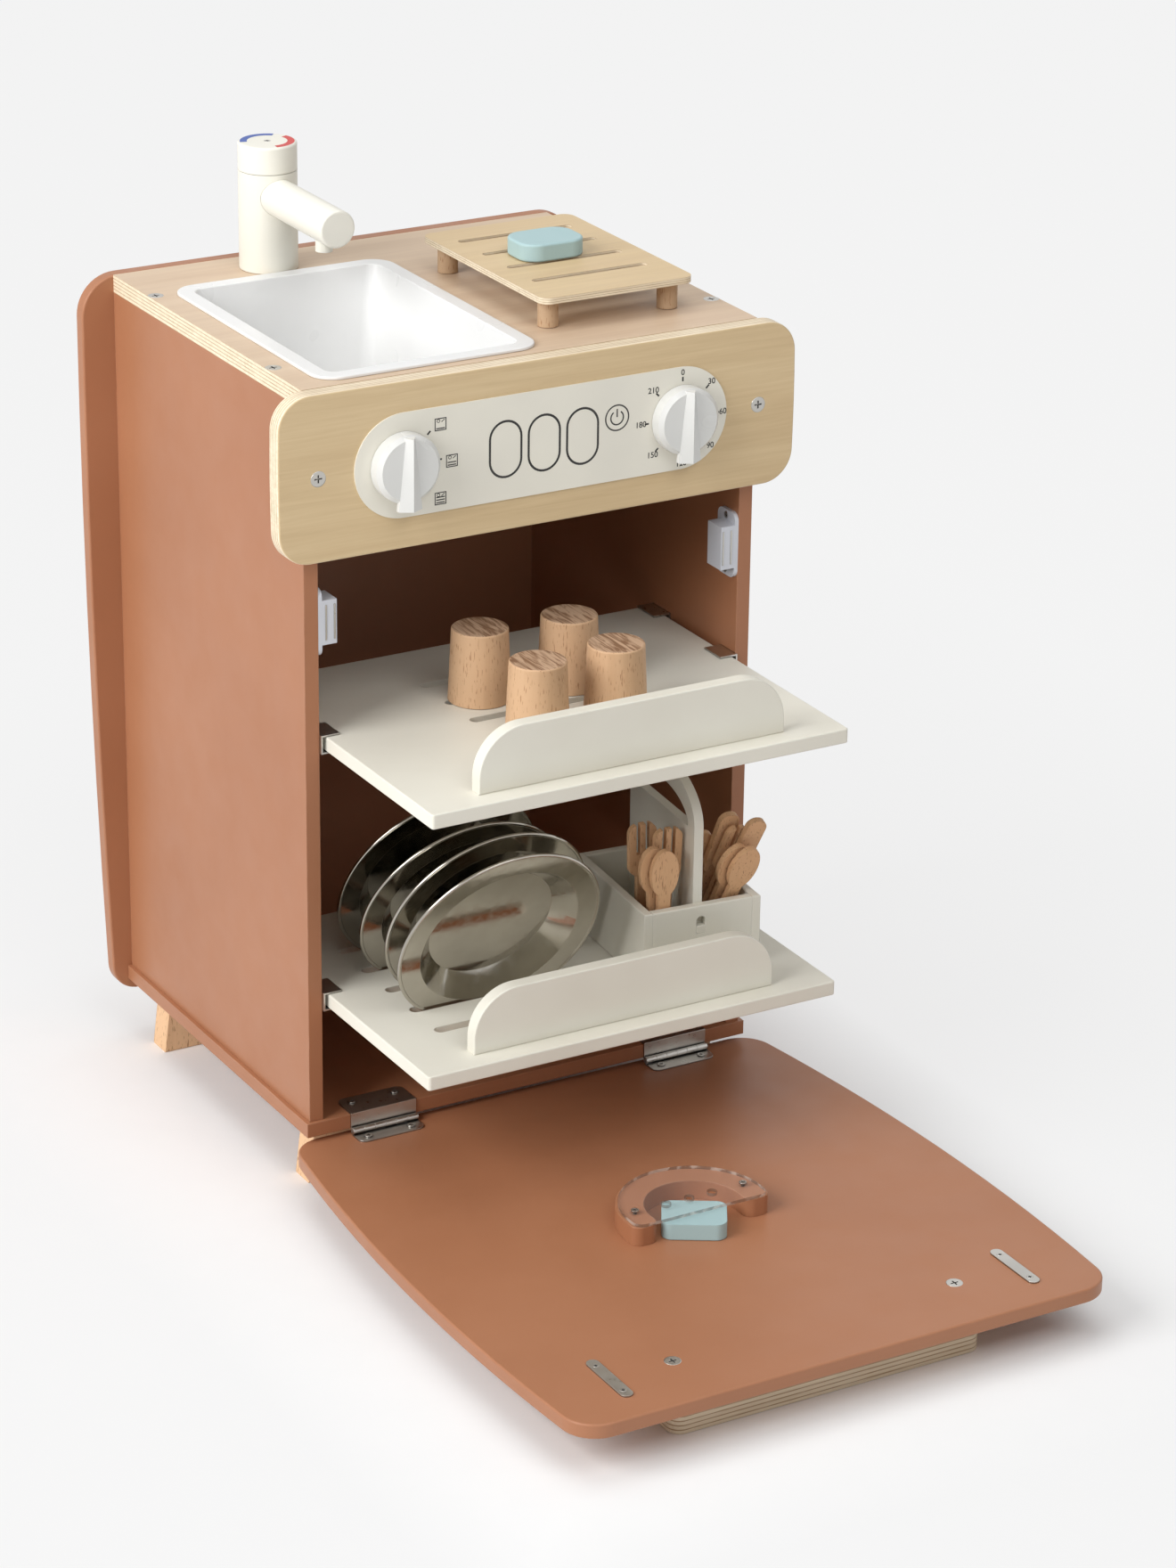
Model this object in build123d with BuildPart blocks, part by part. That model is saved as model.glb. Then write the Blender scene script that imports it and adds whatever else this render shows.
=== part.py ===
"""Toy dishwasher with a sink and tap on top, in millimetres.

The origin is on the floor, under the middle of the outline with the door open.
+Z is up, the door opens towards -Y and +X is to the right of someone who
stands in front. The door lies open on its handle bar, and both shelves are
pulled out.
"""
from build123d import *

import os
from math import cos, radians, sin, sqrt, tan

os.makedirs("parts", exist_ok=True)

# Driving sizes of the case
case_half_width = 150.0
case_half_depth = 127.0
panel_thickness = 9.0
foot_height = 41.0
side_height = 448.0
worktop_thickness = 11.0
door_reach = 372.5

# Clearances
move_gap = 0.3
running_gap = 0.05
seat_gap = 0.3

# Rounding of painted edges
paint_edge = 0.8
sheet_edge = 1.2

# Heights and planes worked out from the case
bottom_top_z = foot_height + panel_thickness
side_top_z = bottom_top_z + side_height
top_z = side_top_z + worktop_thickness
front_y = (door_reach - 2 * case_half_depth - panel_thickness) / 2
back_y = front_y + 2 * case_half_depth
inner_x = case_half_width - panel_thickness


def slab(x_range, y_range, z_range, mode=Mode.ADD):
    """Add or cut a block between two corners."""
    middle = [(low + high) / 2 for low, high in (x_range, y_range, z_range)]
    size = [high - low for low, high in (x_range, y_range, z_range)]
    with Locations(tuple(middle)):
        Box(*size, mode=mode)


def disc(plane, radius, height, mode=Mode.ADD):
    """Raise or cut a round disc on a plane."""
    with BuildSketch(plane) as face:
        Circle(radius)
    extrude(face.sketch, amount=height, mode=mode)


def stadium(plane, length, width, height, mode=Mode.ADD):
    """Raise or cut a strip with round ends on a plane."""
    with BuildSketch(plane) as face:
        SlotOverall(length, width)
    extrude(face.sketch, amount=height, mode=mode)


def rounded_block(plane, length, width, radius, height, mode=Mode.ADD):
    """Raise or cut a rectangle with rounded corners on a plane."""
    with BuildSketch(plane) as face:
        RectangleRounded(length, width, radius)
    extrude(face.sketch, amount=height, mode=mode)


def facing(point, normal, along=(1, 0, 0)):
    """Plane at a point that looks along a normal."""
    return Plane(origin=point, x_dir=along, z_dir=normal)


def ease(builder, axis, radius):
    """Round the rim of both large faces that a sheet has along an axis."""
    faces = builder.faces().group_by(axis)
    rims = [edge for face in faces[0] + faces[-1] for edge in face.outer_wire().edges()]
    fillet(rims, radius)


def bow(widest, radius, distance):
    """Half width of a bowed side at a distance from its widest place."""
    return widest - radius + sqrt(radius**2 - distance**2)


def keep(builder, node):
    """Label a finished sub-part and write it."""
    builder.part.label = node
    export_step(builder.part, f"parts/{node}.step")


# Screws
cross_width = 0.9
panel_screw_radius = 4.8
panel_screw_shank = 1.8
panel_screw_length = 16.0
small_screw_radius = 2.3
small_screw_shank = 1.0
small_screw_length = 5.0
handle_screw_radius = 4.9
handle_screw_shank = 2.0
handle_screw_length = 14.0
dome_height = 0.8
cone_share = 0.55


def countersink(seat, head, shank, length, mode=Mode.ADD):
    """Flush screw body, or the hole that it fills."""
    depth = (head - shank) * cone_share
    with BuildSketch(seat) as wide:
        Circle(head)
    with BuildSketch(seat.offset(-depth)) as narrow:
        Circle(shank)
    loft([wide.sketch.faces()[0], narrow.sketch.faces()[0]], mode=mode)
    disc(seat, shank, -length, mode=mode)


def cross_recess(seat, head, depth):
    """Cut a cross into a screw head."""
    with BuildSketch(seat) as cross:
        Rectangle(head, cross_width)
        Rectangle(cross_width, head)
    extrude(cross.sketch, amount=-depth, mode=Mode.SUBTRACT)


def flush_screw(seat, head, shank, length):
    """Countersunk screw with a cross in its head."""
    countersink(seat, head, shank, length)
    cross_recess(seat, head, dome_height)


def raised_screw(seat, head, shank, length):
    """Screw with a low round head that stands on its seat."""
    disc(seat, head, dome_height)
    disc(seat, shank, -length)
    cross_recess(seat.offset(dome_height), head, dome_height / 2)


# Panel screw places
worktop_screw_x = case_half_width - panel_thickness / 2
worktop_screw_y = (front_y + 45.0, front_y + 203.0)
fascia_thickness = 11.0
fascia_front_y = front_y - fascia_thickness
dial_z = 459.0
worktop_screw_seats = [
    facing((side * worktop_screw_x, y, top_z), (0, 0, 1))
    for side in (-1, 1)
    for y in worktop_screw_y
]
fascia_screw_seats = [
    facing((side * worktop_screw_x, fascia_front_y, dial_z), (0, -1, 0))
    for side in (-1, 1)
]


def cut_panel_screws():
    """Cut the seats of the large screws out of a panel."""
    for seat in worktop_screw_seats + fascia_screw_seats:
        countersink(
            seat, panel_screw_radius, panel_screw_shank, panel_screw_length, Mode.SUBTRACT
        )


# Magnet catches
catch_plate_thickness = 2.5
catch_plate_depth = 20.0
catch_plate_low_z = 346.5
catch_plate_high_z = 388.0
catch_plate_corner = 5.0
catch_body_reach = 12.0
catch_body_depth = 15.5
catch_body_height = 27.2
catch_middle_z = (catch_plate_low_z + catch_plate_high_z) / 2
catch_screw_y = front_y + 10.5
catch_screw_rise = 17.2
pole_thickness = 1.0
pole_height = 21.5
pole_depth = 8.0
pole_proud = 0.3
pole_offset_x = 5.5
catch_body_middle_x = inner_x - (catch_body_reach + catch_plate_thickness) / 2
catch_screw_seats = {
    side: [
        facing(
            (side * (inner_x - catch_plate_thickness), catch_screw_y, catch_middle_z + rise),
            (-side, 0, 0),
            (0, 1, 0),
        )
        for rise in (-catch_screw_rise, catch_screw_rise)
    ]
    for side in (-1, 1)
}

# Hinges
hinge_x = 102.0
hinge_width = 44.0
leaf_thickness = 1.0
axis_y = front_y - 5.0
axis_z = bottom_top_z - 10.0
knuckle_radius = 2.1
pin_radius = 1.0
knuckle_count = 6
knuckle_length = hinge_width / knuckle_count
bottom_front_y = front_y - 2.5
fixed_leaf_back_y = front_y + 17.0
fixed_screw_y = front_y + 10.5
hinge_screw_x = 14.4
leaf_corner = 5.0
hinge_screw_seats = [
    facing((side * hinge_x + offset, fixed_screw_y, bottom_top_z + leaf_thickness), (0, 0, 1))
    for side in (-1, 1)
    for offset in (-hinge_screw_x, hinge_screw_x)
]

# Door
door_inner_z = 37.0
door_outer_z = door_inner_z - panel_thickness
door_hinge_y = front_y + 3.0
door_far_y = front_y - door_reach
door_widest_y = front_y - 235.0
door_half_width = 180.4
door_bow_radius = 1480.0
door_corner = 21.0
moving_leaf_front_y = front_y - 17.0
moving_screw_y = front_y - 11.5
moving_screw_seats = [
    facing((side * hinge_x + offset, moving_screw_y, door_inner_z + leaf_thickness), (0, 0, 1))
    for side in (-1, 1)
    for offset in (-hinge_screw_x, hinge_screw_x)
]
strike_x = 133.7
strike_y = front_y - 331.0
strike_length = 44.0
strike_width = 7.5
strike_thickness = 1.0
strike_screw_pitch = 30.0
strike_screw_radius = 2.0
strike_screw_seats = [
    facing((side * strike_x, strike_y + offset, door_inner_z + strike_thickness), (0, 0, 1))
    for side in (-1, 1)
    for offset in (-strike_screw_pitch / 2, strike_screw_pitch / 2)
]
handle_half_width = 102.0
handle_far_y = front_y - 347.5
handle_near_y = front_y - 312.5
handle_corner = 8.0
handle_screw_x = 93.0
handle_screw_y = (handle_far_y + handle_near_y) / 2
handle_screw_seats = [
    facing((side * handle_screw_x, handle_screw_y, door_inner_z), (0, 0, 1))
    for side in (-1, 1)
]

# Knobs
knob_x = 92.5
knob_radius = 20.5
knob_depth = 9.7
knob_bevel = 2.5
ridge_height = 4.0
ridge_sink = 3.0
ridge_top_reach = 19.5
ridge_bottom_reach = 24.0
ridge_top_width = 6.0
ridge_bottom_width = 15.0
spindle_radius = 3.0
spindle_depth = 9.0
label_thickness = 1.0
label_length = 246.0
label_height = 63.0
label_front_y = fascia_front_y - label_thickness


def knob_bore_cut():
    """Cut the two knob bores."""
    for side in (-1, 1):
        bore = facing((side * knob_x, label_front_y, dial_z), (0, 1, 0))
        disc(bore, spindle_radius + running_gap, label_thickness + spindle_depth, Mode.SUBTRACT)


# Tap
tap_x = -59.0
tap_y = front_y + 226.5
tap_radius = 18.0
tap_column_top_z = 570.5
tap_cap_top_z = 587.5
peg_radius = 6.0
peg_height = 24.0
peg_sink = 8.0
spout_radius = 11.5
spout_z = 556.0
spout_end_y = front_y + 133.0
spout_depth = 10.0
nozzle_radius = 5.2
nozzle_y = front_y + 151.5
nozzle_low_z = 538.5
nozzle_sink = 6.0
cap_stub_radius = 4.0
cap_stub_length = 12.0
cap_edge = 1.5
cap_screw_radius = 2.2

# Sink
sink_x = -62.5
sink_y = front_y + 107.25
sink_length_x = 144.0
sink_length_y = 201.5
sink_rim = 10.0
sink_rim_proud = 2.0
sink_corner = 15.0
sink_depth = 70.0
sink_wall = 2.5
sink_draft = 9.0
sink_hole_gap = 1.0


# Cabinet panels
def wood_screw_holes():
    """Cut every screw seat of the standing cabinet."""
    cut_panel_screws()
    for side in (-1, 1):
        for seat in catch_screw_seats[side]:
            countersink(
                seat, small_screw_radius, small_screw_shank, small_screw_length, Mode.SUBTRACT
            )
    for seat in hinge_screw_seats:
        disc(seat, small_screw_shank, -small_screw_length - leaf_thickness, Mode.SUBTRACT)


def side_panel(side):
    """Upright side panel."""
    near, far = sorted((side * inner_x, side * case_half_width))
    with BuildPart() as panel:
        slab((near, far), (front_y, back_y), (bottom_top_z, side_top_z))
        wood_screw_holes()
    return panel


left_side_panel = side_panel(-1)
keep(left_side_panel, "left_side_panel")
right_side_panel = side_panel(1)
keep(right_side_panel, "right_side_panel")

bottom_overhang = 2.7
bottom_half_width = case_half_width + bottom_overhang
with BuildPart() as bottom_panel:
    slab(
        (-bottom_half_width, bottom_half_width),
        (bottom_front_y, back_y),
        (foot_height, bottom_top_z),
    )
    wood_screw_holes()
keep(bottom_panel, "bottom_panel")

with BuildPart() as worktop:
    slab((-case_half_width, case_half_width), (front_y, back_y), (side_top_z, top_z))
    rounded_block(
        Plane.XY.offset(side_top_z).move(Location((sink_x, sink_y, 0))),
        sink_length_x - 2 * sink_rim + 2 * (sink_wall + sink_hole_gap),
        sink_length_y - 2 * sink_rim + 2 * (sink_wall + sink_hole_gap),
        sink_corner - sink_rim + sink_wall + sink_hole_gap,
        worktop_thickness,
        Mode.SUBTRACT,
    )
    disc(facing((tap_x, tap_y, top_z), (0, 0, 1)), peg_radius, -peg_sink, Mode.SUBTRACT)
    wood_screw_holes()
keep(worktop, "worktop")

# Front fascia, with slightly bowed ends
fascia_half_width = 171.0
fascia_height = 100.5
fascia_corner = 20.0
fascia_bulge = 1.0
fascia_middle_z = top_z - fascia_height / 2


def bowed_outline(half_height, half_width, bulge):
    """Rectangle whose two upright sides bow outwards."""
    inner = half_width - bulge
    with BuildLine() as outline:
        Line((-inner, -half_height), (inner, -half_height))
        ThreePointArc((inner, -half_height), (half_width, 0), (inner, half_height))
        Line((inner, half_height), (-inner, half_height))
        ThreePointArc((-inner, half_height), (-half_width, 0), (-inner, -half_height))
    return outline


with BuildPart() as front_fascia:
    with BuildSketch(facing((0, fascia_front_y, fascia_middle_z), (0, -1, 0))) as fascia_face:
        with BuildLine():
            add(bowed_outline(fascia_height / 2, fascia_half_width, fascia_bulge).line)
        make_face()
        fillet(fascia_face.vertices(), fascia_corner)
    extrude(amount=-fascia_thickness)
    ease(front_fascia, Axis.Y, sheet_edge)
    knob_bore_cut()
    wood_screw_holes()
keep(front_fascia, "front_fascia")

with BuildPart() as control_label:
    stadium(
        facing((0, fascia_front_y, dial_z), (0, -1, 0)),
        label_length,
        label_height,
        label_thickness,
    )
    knob_bore_cut()
keep(control_label, "control_label")

# Back panel, wider at the top than at the feet
back_half_width = 171.3
back_bow_radius = 9000.0
back_widest_z = 440.0
back_bottom_z = 33.0
back_top_corner = 25.0
back_bottom_corner = 18.0
back_low_half = bow(back_half_width, back_bow_radius, back_widest_z - back_bottom_z)
back_high_half = bow(back_half_width, back_bow_radius, top_z - back_widest_z)
with BuildPart() as back_panel:
    with BuildSketch(facing((0, back_y + panel_thickness, 0), (0, -1, 0))) as back_face:
        with BuildLine():
            Line((-back_low_half, back_bottom_z), (back_low_half, back_bottom_z))
            ThreePointArc(
                (back_low_half, back_bottom_z),
                (back_half_width, back_widest_z),
                (back_high_half, top_z),
            )
            Line((back_high_half, top_z), (-back_high_half, top_z))
            ThreePointArc(
                (-back_high_half, top_z),
                (-back_half_width, back_widest_z),
                (-back_low_half, back_bottom_z),
            )
        make_face()
        back_corners = back_face.vertices().group_by(Axis.Y)
        fillet(back_corners[-1], back_top_corner)
        fillet(back_face.vertices().group_by(Axis.Y)[0], back_bottom_corner)
    extrude(amount=panel_thickness)
    ease(back_panel, Axis.Y, sheet_edge)
keep(back_panel, "back_panel")

# Feet
foot_thickness = 18.0
foot_inset_y = 24.7
foot_outer_top_x = 138.3
foot_outer_floor_x = 143.2
foot_top_width = 34.0
foot_floor_width = 30.0
foot_edge = 1.0
with BuildPart() as feet:
    for side in (-1, 1):
        for foot_y in (front_y + foot_inset_y, back_y - foot_inset_y):
            foot_plane = facing((0, foot_y + foot_thickness / 2, 0), (0, -1, 0))
            with BuildSketch(foot_plane):
                Polygon(
                    (side * foot_outer_top_x, foot_height),
                    (side * foot_outer_floor_x, 0),
                    (side * (foot_outer_floor_x - foot_floor_width), 0),
                    (side * (foot_outer_top_x - foot_top_width), foot_height),
                    align=None,
                )
            extrude(amount=foot_thickness)
    fillet(feet.edges().filter_by(Axis.X).group_by(Axis.Z)[0], foot_edge)
keep(feet, "feet")

with BuildPart() as panel_screws:
    for screw_seat in worktop_screw_seats + fascia_screw_seats:
        flush_screw(screw_seat, panel_screw_radius, panel_screw_shank, panel_screw_length)
keep(panel_screws, "panel_screws")

# Magnet catches on the inside of both side panels
pole_front_y = front_y - pole_proud


def pole_places():
    """Middle x of each steel pole."""
    return [
        side * (catch_body_middle_x - pole_thickness / 2 + offset)
        for side in (-1, 1)
        for offset in (-pole_offset_x / 2, pole_offset_x / 2)
    ]


def pole_blocks(mode):
    """Add or cut the steel poles."""
    for x in pole_places():
        slab(
            (x - pole_thickness / 2, x + pole_thickness / 2),
            (pole_front_y, pole_front_y + pole_depth),
            (catch_middle_z - pole_height / 2, catch_middle_z + pole_height / 2),
            mode,
        )


with BuildPart() as magnet_catches:
    for side in (-1, 1):
        wall_plane = facing(
            (side * inner_x, front_y + catch_plate_depth / 2, catch_middle_z),
            (-side, 0, 0),
            (0, 1, 0),
        )
        rounded_block(
            wall_plane,
            catch_plate_depth,
            catch_plate_high_z - catch_plate_low_z,
            catch_plate_corner,
            catch_plate_thickness,
        )
        body_ends = sorted((side * inner_x, side * (inner_x - catch_body_reach)))
        slab(
            tuple(body_ends),
            (front_y, front_y + catch_body_depth),
            (catch_middle_z - catch_body_height / 2, catch_middle_z + catch_body_height / 2),
        )
        for seat in catch_screw_seats[side]:
            countersink(
                seat, small_screw_radius, small_screw_shank, small_screw_length, Mode.SUBTRACT
            )
    pole_blocks(Mode.SUBTRACT)
keep(magnet_catches, "magnet_catches")

with BuildPart() as catch_poles:
    pole_blocks(Mode.ADD)
keep(catch_poles, "catch_poles")


# Hinges with interleaved knuckles
def knuckle_span(index):
    """Low and high end of one knuckle, from the hinge's middle."""
    low = -hinge_width / 2 + index * knuckle_length
    return low, low + knuckle_length


def knuckles(middle_x, first):
    """Every second knuckle, starting at the first index."""
    for index in range(first, knuckle_count, 2):
        low, high = knuckle_span(index)
        start = facing((middle_x + low + running_gap, axis_y, axis_z), (1, 0, 0), (0, 1, 0))
        disc(start, knuckle_radius, high - low - 2 * running_gap)


def pin_bore(middle_x):
    """Cut the pin's bore through a leaf's knuckles."""
    start = facing((middle_x - hinge_width / 2, axis_y, axis_z), (1, 0, 0), (0, 1, 0))
    disc(start, pin_radius + running_gap, hinge_width, Mode.SUBTRACT)


def clear_other_knuckles(middle_x, first):
    """Cut room for the other leaf's knuckles."""
    for index in range(first, knuckle_count, 2):
        low, high = knuckle_span(index)
        start = facing((middle_x + low - running_gap, axis_y, axis_z), (1, 0, 0), (0, 1, 0))
        disc(start, knuckle_radius + move_gap, high - low + 2 * running_gap, Mode.SUBTRACT)


def fixed_leaf(middle_x):
    """Leaf that wraps the front edge of the bottom panel."""
    low_x = middle_x - hinge_width / 2
    high_x = middle_x + hinge_width / 2
    flange_front_y = bottom_front_y - leaf_thickness
    flange_length = fixed_leaf_back_y - flange_front_y
    flat = facing((middle_x, flange_front_y + flange_length / 2, bottom_top_z), (0, 0, 1))
    rounded_block(flat, hinge_width, flange_length, leaf_corner, leaf_thickness)
    slab(
        (low_x, high_x),
        (flange_front_y, flange_front_y + flange_length / 2),
        (bottom_top_z, bottom_top_z + leaf_thickness),
    )
    slab(
        (low_x, high_x),
        (flange_front_y, bottom_front_y),
        (axis_z, bottom_top_z + leaf_thickness),
    )


with BuildPart() as hinge_fixed_leaves:
    for side in (-1, 1):
        fixed_leaf(side * hinge_x)
        clear_other_knuckles(side * hinge_x, 1)
        knuckles(side * hinge_x, 0)
        pin_bore(side * hinge_x)
    for seat in hinge_screw_seats:
        disc(seat, small_screw_shank, -leaf_thickness, Mode.SUBTRACT)
keep(hinge_fixed_leaves, "hinge_fixed_leaves")

with BuildPart() as hinge_pins:
    for side in (-1, 1):
        pin_start = facing((side * hinge_x - hinge_width / 2, axis_y, axis_z), (1, 0, 0), (0, 1, 0))
        disc(pin_start, pin_radius, hinge_width)
keep(hinge_pins, "hinge_pins")

with BuildPart() as small_screws:
    for seat in hinge_screw_seats:
        raised_screw(
            seat, small_screw_radius, small_screw_shank, small_screw_length + leaf_thickness
        )
    for side in (-1, 1):
        for seat in catch_screw_seats[side]:
            flush_screw(seat, small_screw_radius, small_screw_shank, small_screw_length)
keep(small_screws, "small_screws")

# Shelves
shelf_side_gap = 3.3
shelf_half_width = inner_x - shelf_side_gap
shelf_thickness = 9.0
shelf_depth = 231.0
shelf_corner = 2.0
upper_top_z = 297.3
upper_front_y = front_y - 133.1
lower_top_z = 132.7
lower_front_y = front_y - 128.5
slot_width = 7.4
slot_pitch = 30.93
upper_slot_low_x = -51.8
upper_slot_length = 87.0
upper_slot_back_y = front_y + 43.0
upper_slot_count = 4
lower_slot_low_x = -105.5
lower_slot_length = 100.0
lower_slot_back_y = front_y + 48.0
lower_slot_count = 5
rail_half_width = 101.0
rail_thickness = 9.0
rail_height = 38.0
rail_corner = 29.0
rail_inset = 13.0
guide_flange = 12.0
guide_thickness = 1.0
guide_front_length = 19.0
guide_rear_y = front_y + 77.0
guide_rear_length = 21.0


def shelf_board(front, top, slot_low_x, slot_length, slot_back_y, slot_count):
    """Shelf board with a row of long slots."""
    with BuildPart() as board:
        middle = facing((0, front + shelf_depth / 2, top), (0, 0, 1))
        rounded_block(
            middle, 2 * shelf_half_width, shelf_depth, shelf_corner, -shelf_thickness
        )
        ease(board, Axis.Z, paint_edge)
        for index in range(slot_count):
            slot_middle = (slot_low_x + slot_length / 2, slot_back_y - index * slot_pitch, top)
            stadium(
                facing(slot_middle, (0, 0, 1)),
                slot_length,
                slot_width,
                -shelf_thickness,
                Mode.SUBTRACT,
            )
    return board


def shelf_rail(front, top):
    """Upright rail along a shelf's front."""
    with BuildPart() as rail:
        with BuildSketch(facing((0, front + rail_inset + rail_thickness, top), (0, -1, 0))) as face:
            with Locations((0, rail_height / 2)):
                Rectangle(2 * rail_half_width, rail_height)
            fillet(face.vertices().group_by(Axis.Y)[-1], rail_corner)
        extrude(amount=rail_thickness)
        ease(rail, Axis.Y, paint_edge)
    return rail


def shelf_guide(side, low_y, length, top):
    """Steel channel round a shelf's edge."""
    web = sorted((side * (inner_x - guide_thickness), side * inner_x))
    flange = sorted((side * (inner_x - guide_flange), side * inner_x))
    under = top - shelf_thickness - move_gap
    over = top + move_gap
    y_range = (low_y, low_y + length)
    slab(tuple(web), y_range, (under - guide_thickness, over + guide_thickness))
    slab(tuple(flange), y_range, (under - guide_thickness, under))
    slab(tuple(flange), y_range, (over, over + guide_thickness))


upper_shelf = shelf_board(
    upper_front_y,
    upper_top_z,
    upper_slot_low_x,
    upper_slot_length,
    upper_slot_back_y,
    upper_slot_count,
)
keep(upper_shelf, "upper_shelf")
lower_shelf = shelf_board(
    lower_front_y,
    lower_top_z,
    lower_slot_low_x,
    lower_slot_length,
    lower_slot_back_y,
    lower_slot_count,
)
keep(lower_shelf, "lower_shelf")
upper_rail = shelf_rail(upper_front_y, upper_top_z)
keep(upper_rail, "upper_rail")
lower_rail = shelf_rail(lower_front_y, lower_top_z)
keep(lower_rail, "lower_rail")

with BuildPart() as shelf_guides:
    for side in (-1, 1):
        for top in (upper_top_z, lower_top_z):
            shelf_guide(side, bottom_front_y, guide_front_length, top)
            shelf_guide(side, guide_rear_y, guide_rear_length, top)
keep(shelf_guides, "shelf_guides")


# Door
def door_half(y):
    """Half width of the door at a place along it."""
    return bow(door_half_width, door_bow_radius, y - door_widest_y)


def door_screw_holes():
    """Cut the seats of the screws that go into the door."""
    for seat in moving_screw_seats:
        disc(seat, small_screw_shank, -small_screw_length - leaf_thickness, Mode.SUBTRACT)
    for seat in strike_screw_seats:
        countersink(
            seat, strike_screw_radius, small_screw_shank, small_screw_length, Mode.SUBTRACT
        )
    for seat in handle_screw_seats:
        countersink(
            seat, handle_screw_radius, handle_screw_shank, handle_screw_length, Mode.SUBTRACT
        )


with BuildPart() as door_panel:
    with BuildSketch(Plane.XY.offset(door_outer_z)) as door_face:
        with BuildLine():
            Line((-door_half(door_far_y), door_far_y), (door_half(door_far_y), door_far_y))
            ThreePointArc(
                (door_half(door_far_y), door_far_y),
                (door_half_width, door_widest_y),
                (door_half(door_hinge_y), door_hinge_y),
            )
            Line(
                (door_half(door_hinge_y), door_hinge_y),
                (-door_half(door_hinge_y), door_hinge_y),
            )
            ThreePointArc(
                (-door_half(door_hinge_y), door_hinge_y),
                (-door_half_width, door_widest_y),
                (-door_half(door_far_y), door_far_y),
            )
        make_face()
        fillet(door_face.vertices(), door_corner)
    extrude(amount=panel_thickness)
    ease(door_panel, Axis.Z, sheet_edge)
    door_screw_holes()
keep(door_panel, "door_panel")

with BuildPart() as door_handle:
    rounded_block(
        Plane.XY.move(Location((0, handle_screw_y, 0))),
        2 * handle_half_width,
        handle_near_y - handle_far_y,
        handle_corner,
        door_outer_z,
    )
    ease(door_handle, Axis.Z, paint_edge)
    door_screw_holes()
keep(door_handle, "door_handle")

with BuildPart() as handle_screws:
    for screw_seat in handle_screw_seats:
        flush_screw(screw_seat, handle_screw_radius, handle_screw_shank, handle_screw_length)
keep(handle_screws, "handle_screws")

with BuildPart() as strike_plates:
    for side in (-1, 1):
        stadium(
            facing((side * strike_x, strike_y, door_inner_z), (0, 0, 1), (0, 1, 0)),
            strike_length,
            strike_width,
            strike_thickness,
        )
    for seat in strike_screw_seats:
        countersink(
            seat, strike_screw_radius, small_screw_shank, small_screw_length, Mode.SUBTRACT
        )
keep(strike_plates, "strike_plates")

with BuildPart() as hinge_moving_leaves:
    for side in (-1, 1):
        leaf_length = axis_y - moving_leaf_front_y
        leaf_middle = (side * hinge_x, moving_leaf_front_y + leaf_length / 2, door_inner_z)
        rounded_block(
            facing(leaf_middle, (0, 0, 1)), hinge_width, leaf_length, leaf_corner, leaf_thickness
        )
        slab(
            (side * hinge_x - hinge_width / 2, side * hinge_x + hinge_width / 2),
            (axis_y - leaf_length / 2, axis_y),
            (door_inner_z, door_inner_z + leaf_thickness),
        )
        clear_other_knuckles(side * hinge_x, 0)
        knuckles(side * hinge_x, 1)
        pin_bore(side * hinge_x)
    for seat in moving_screw_seats:
        disc(seat, small_screw_shank, -leaf_thickness, Mode.SUBTRACT)
keep(hinge_moving_leaves, "hinge_moving_leaves")

with BuildPart() as door_screws:
    for seat in moving_screw_seats:
        raised_screw(
            seat, small_screw_radius, small_screw_shank, small_screw_length + leaf_thickness
        )
    for seat in strike_screw_seats:
        flush_screw(seat, strike_screw_radius, small_screw_shank, small_screw_length)
keep(door_screws, "door_screws")

# Detergent dispenser on the door
pocket_half_width = 29.5
dispenser_half_width = 46.0
dispenser_mouth_y = front_y - 208.5
dispenser_arc_y = front_y - 197.5
dispenser_height = 12.0
cover_thickness = 2.0
cover_inset = 1.5
cover_screw_x = 36.5
cover_screw_y = front_y - 191.5
cover_hole_radius = 3.0
cover_hole_pitch = 15.5
arm_corner = 6.0
tablet_length = 38.0
tablet_width = 30.0
tablet_height = 10.0
tablet_corner = 6.5
tablet_turn = -30.5
tablet_x = -3.8
tablet_y = front_y - 203.8
dispenser_top_z = door_inner_z + dispenser_height


def arch_outline(half_width):
    """U outline with its round end towards the hinge."""
    with BuildLine() as outline:
        Line((-half_width, dispenser_mouth_y), (half_width, dispenser_mouth_y))
        Line((half_width, dispenser_mouth_y), (half_width, dispenser_arc_y))
        ThreePointArc(
            (half_width, dispenser_arc_y),
            (0, dispenser_arc_y + half_width),
            (-half_width, dispenser_arc_y),
        )
        Line((-half_width, dispenser_arc_y), (-half_width, dispenser_mouth_y))
    return outline


def arch_block(plane, half_width, height, mode=Mode.ADD):
    """Raise or cut a U outline."""
    with BuildSketch(plane) as face:
        with BuildLine():
            add(arch_outline(half_width).line)
        make_face()
    extrude(face.sketch, amount=height, mode=mode)


def round_mouth(builder, radius):
    """Round the upright edges at the mouth of the dispenser."""
    uprights = builder.edges().filter_by(Axis.Z).group_by(Axis.Y)[0]
    fillet(uprights, radius)


cover_screw_seats = [
    facing((side * cover_screw_x, cover_screw_y, dispenser_top_z + cover_thickness), (0, 0, 1))
    for side in (-1, 1)
]

with BuildPart() as dispenser_block:
    arch_block(Plane.XY.offset(door_inner_z), dispenser_half_width, dispenser_height)
    arch_block(
        Plane.XY.offset(door_inner_z), pocket_half_width, dispenser_height, Mode.SUBTRACT
    )
    round_mouth(dispenser_block, arm_corner)
    for seat in cover_screw_seats:
        disc(seat, small_screw_shank, -small_screw_length - cover_thickness, Mode.SUBTRACT)
keep(dispenser_block, "dispenser_block")

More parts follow.
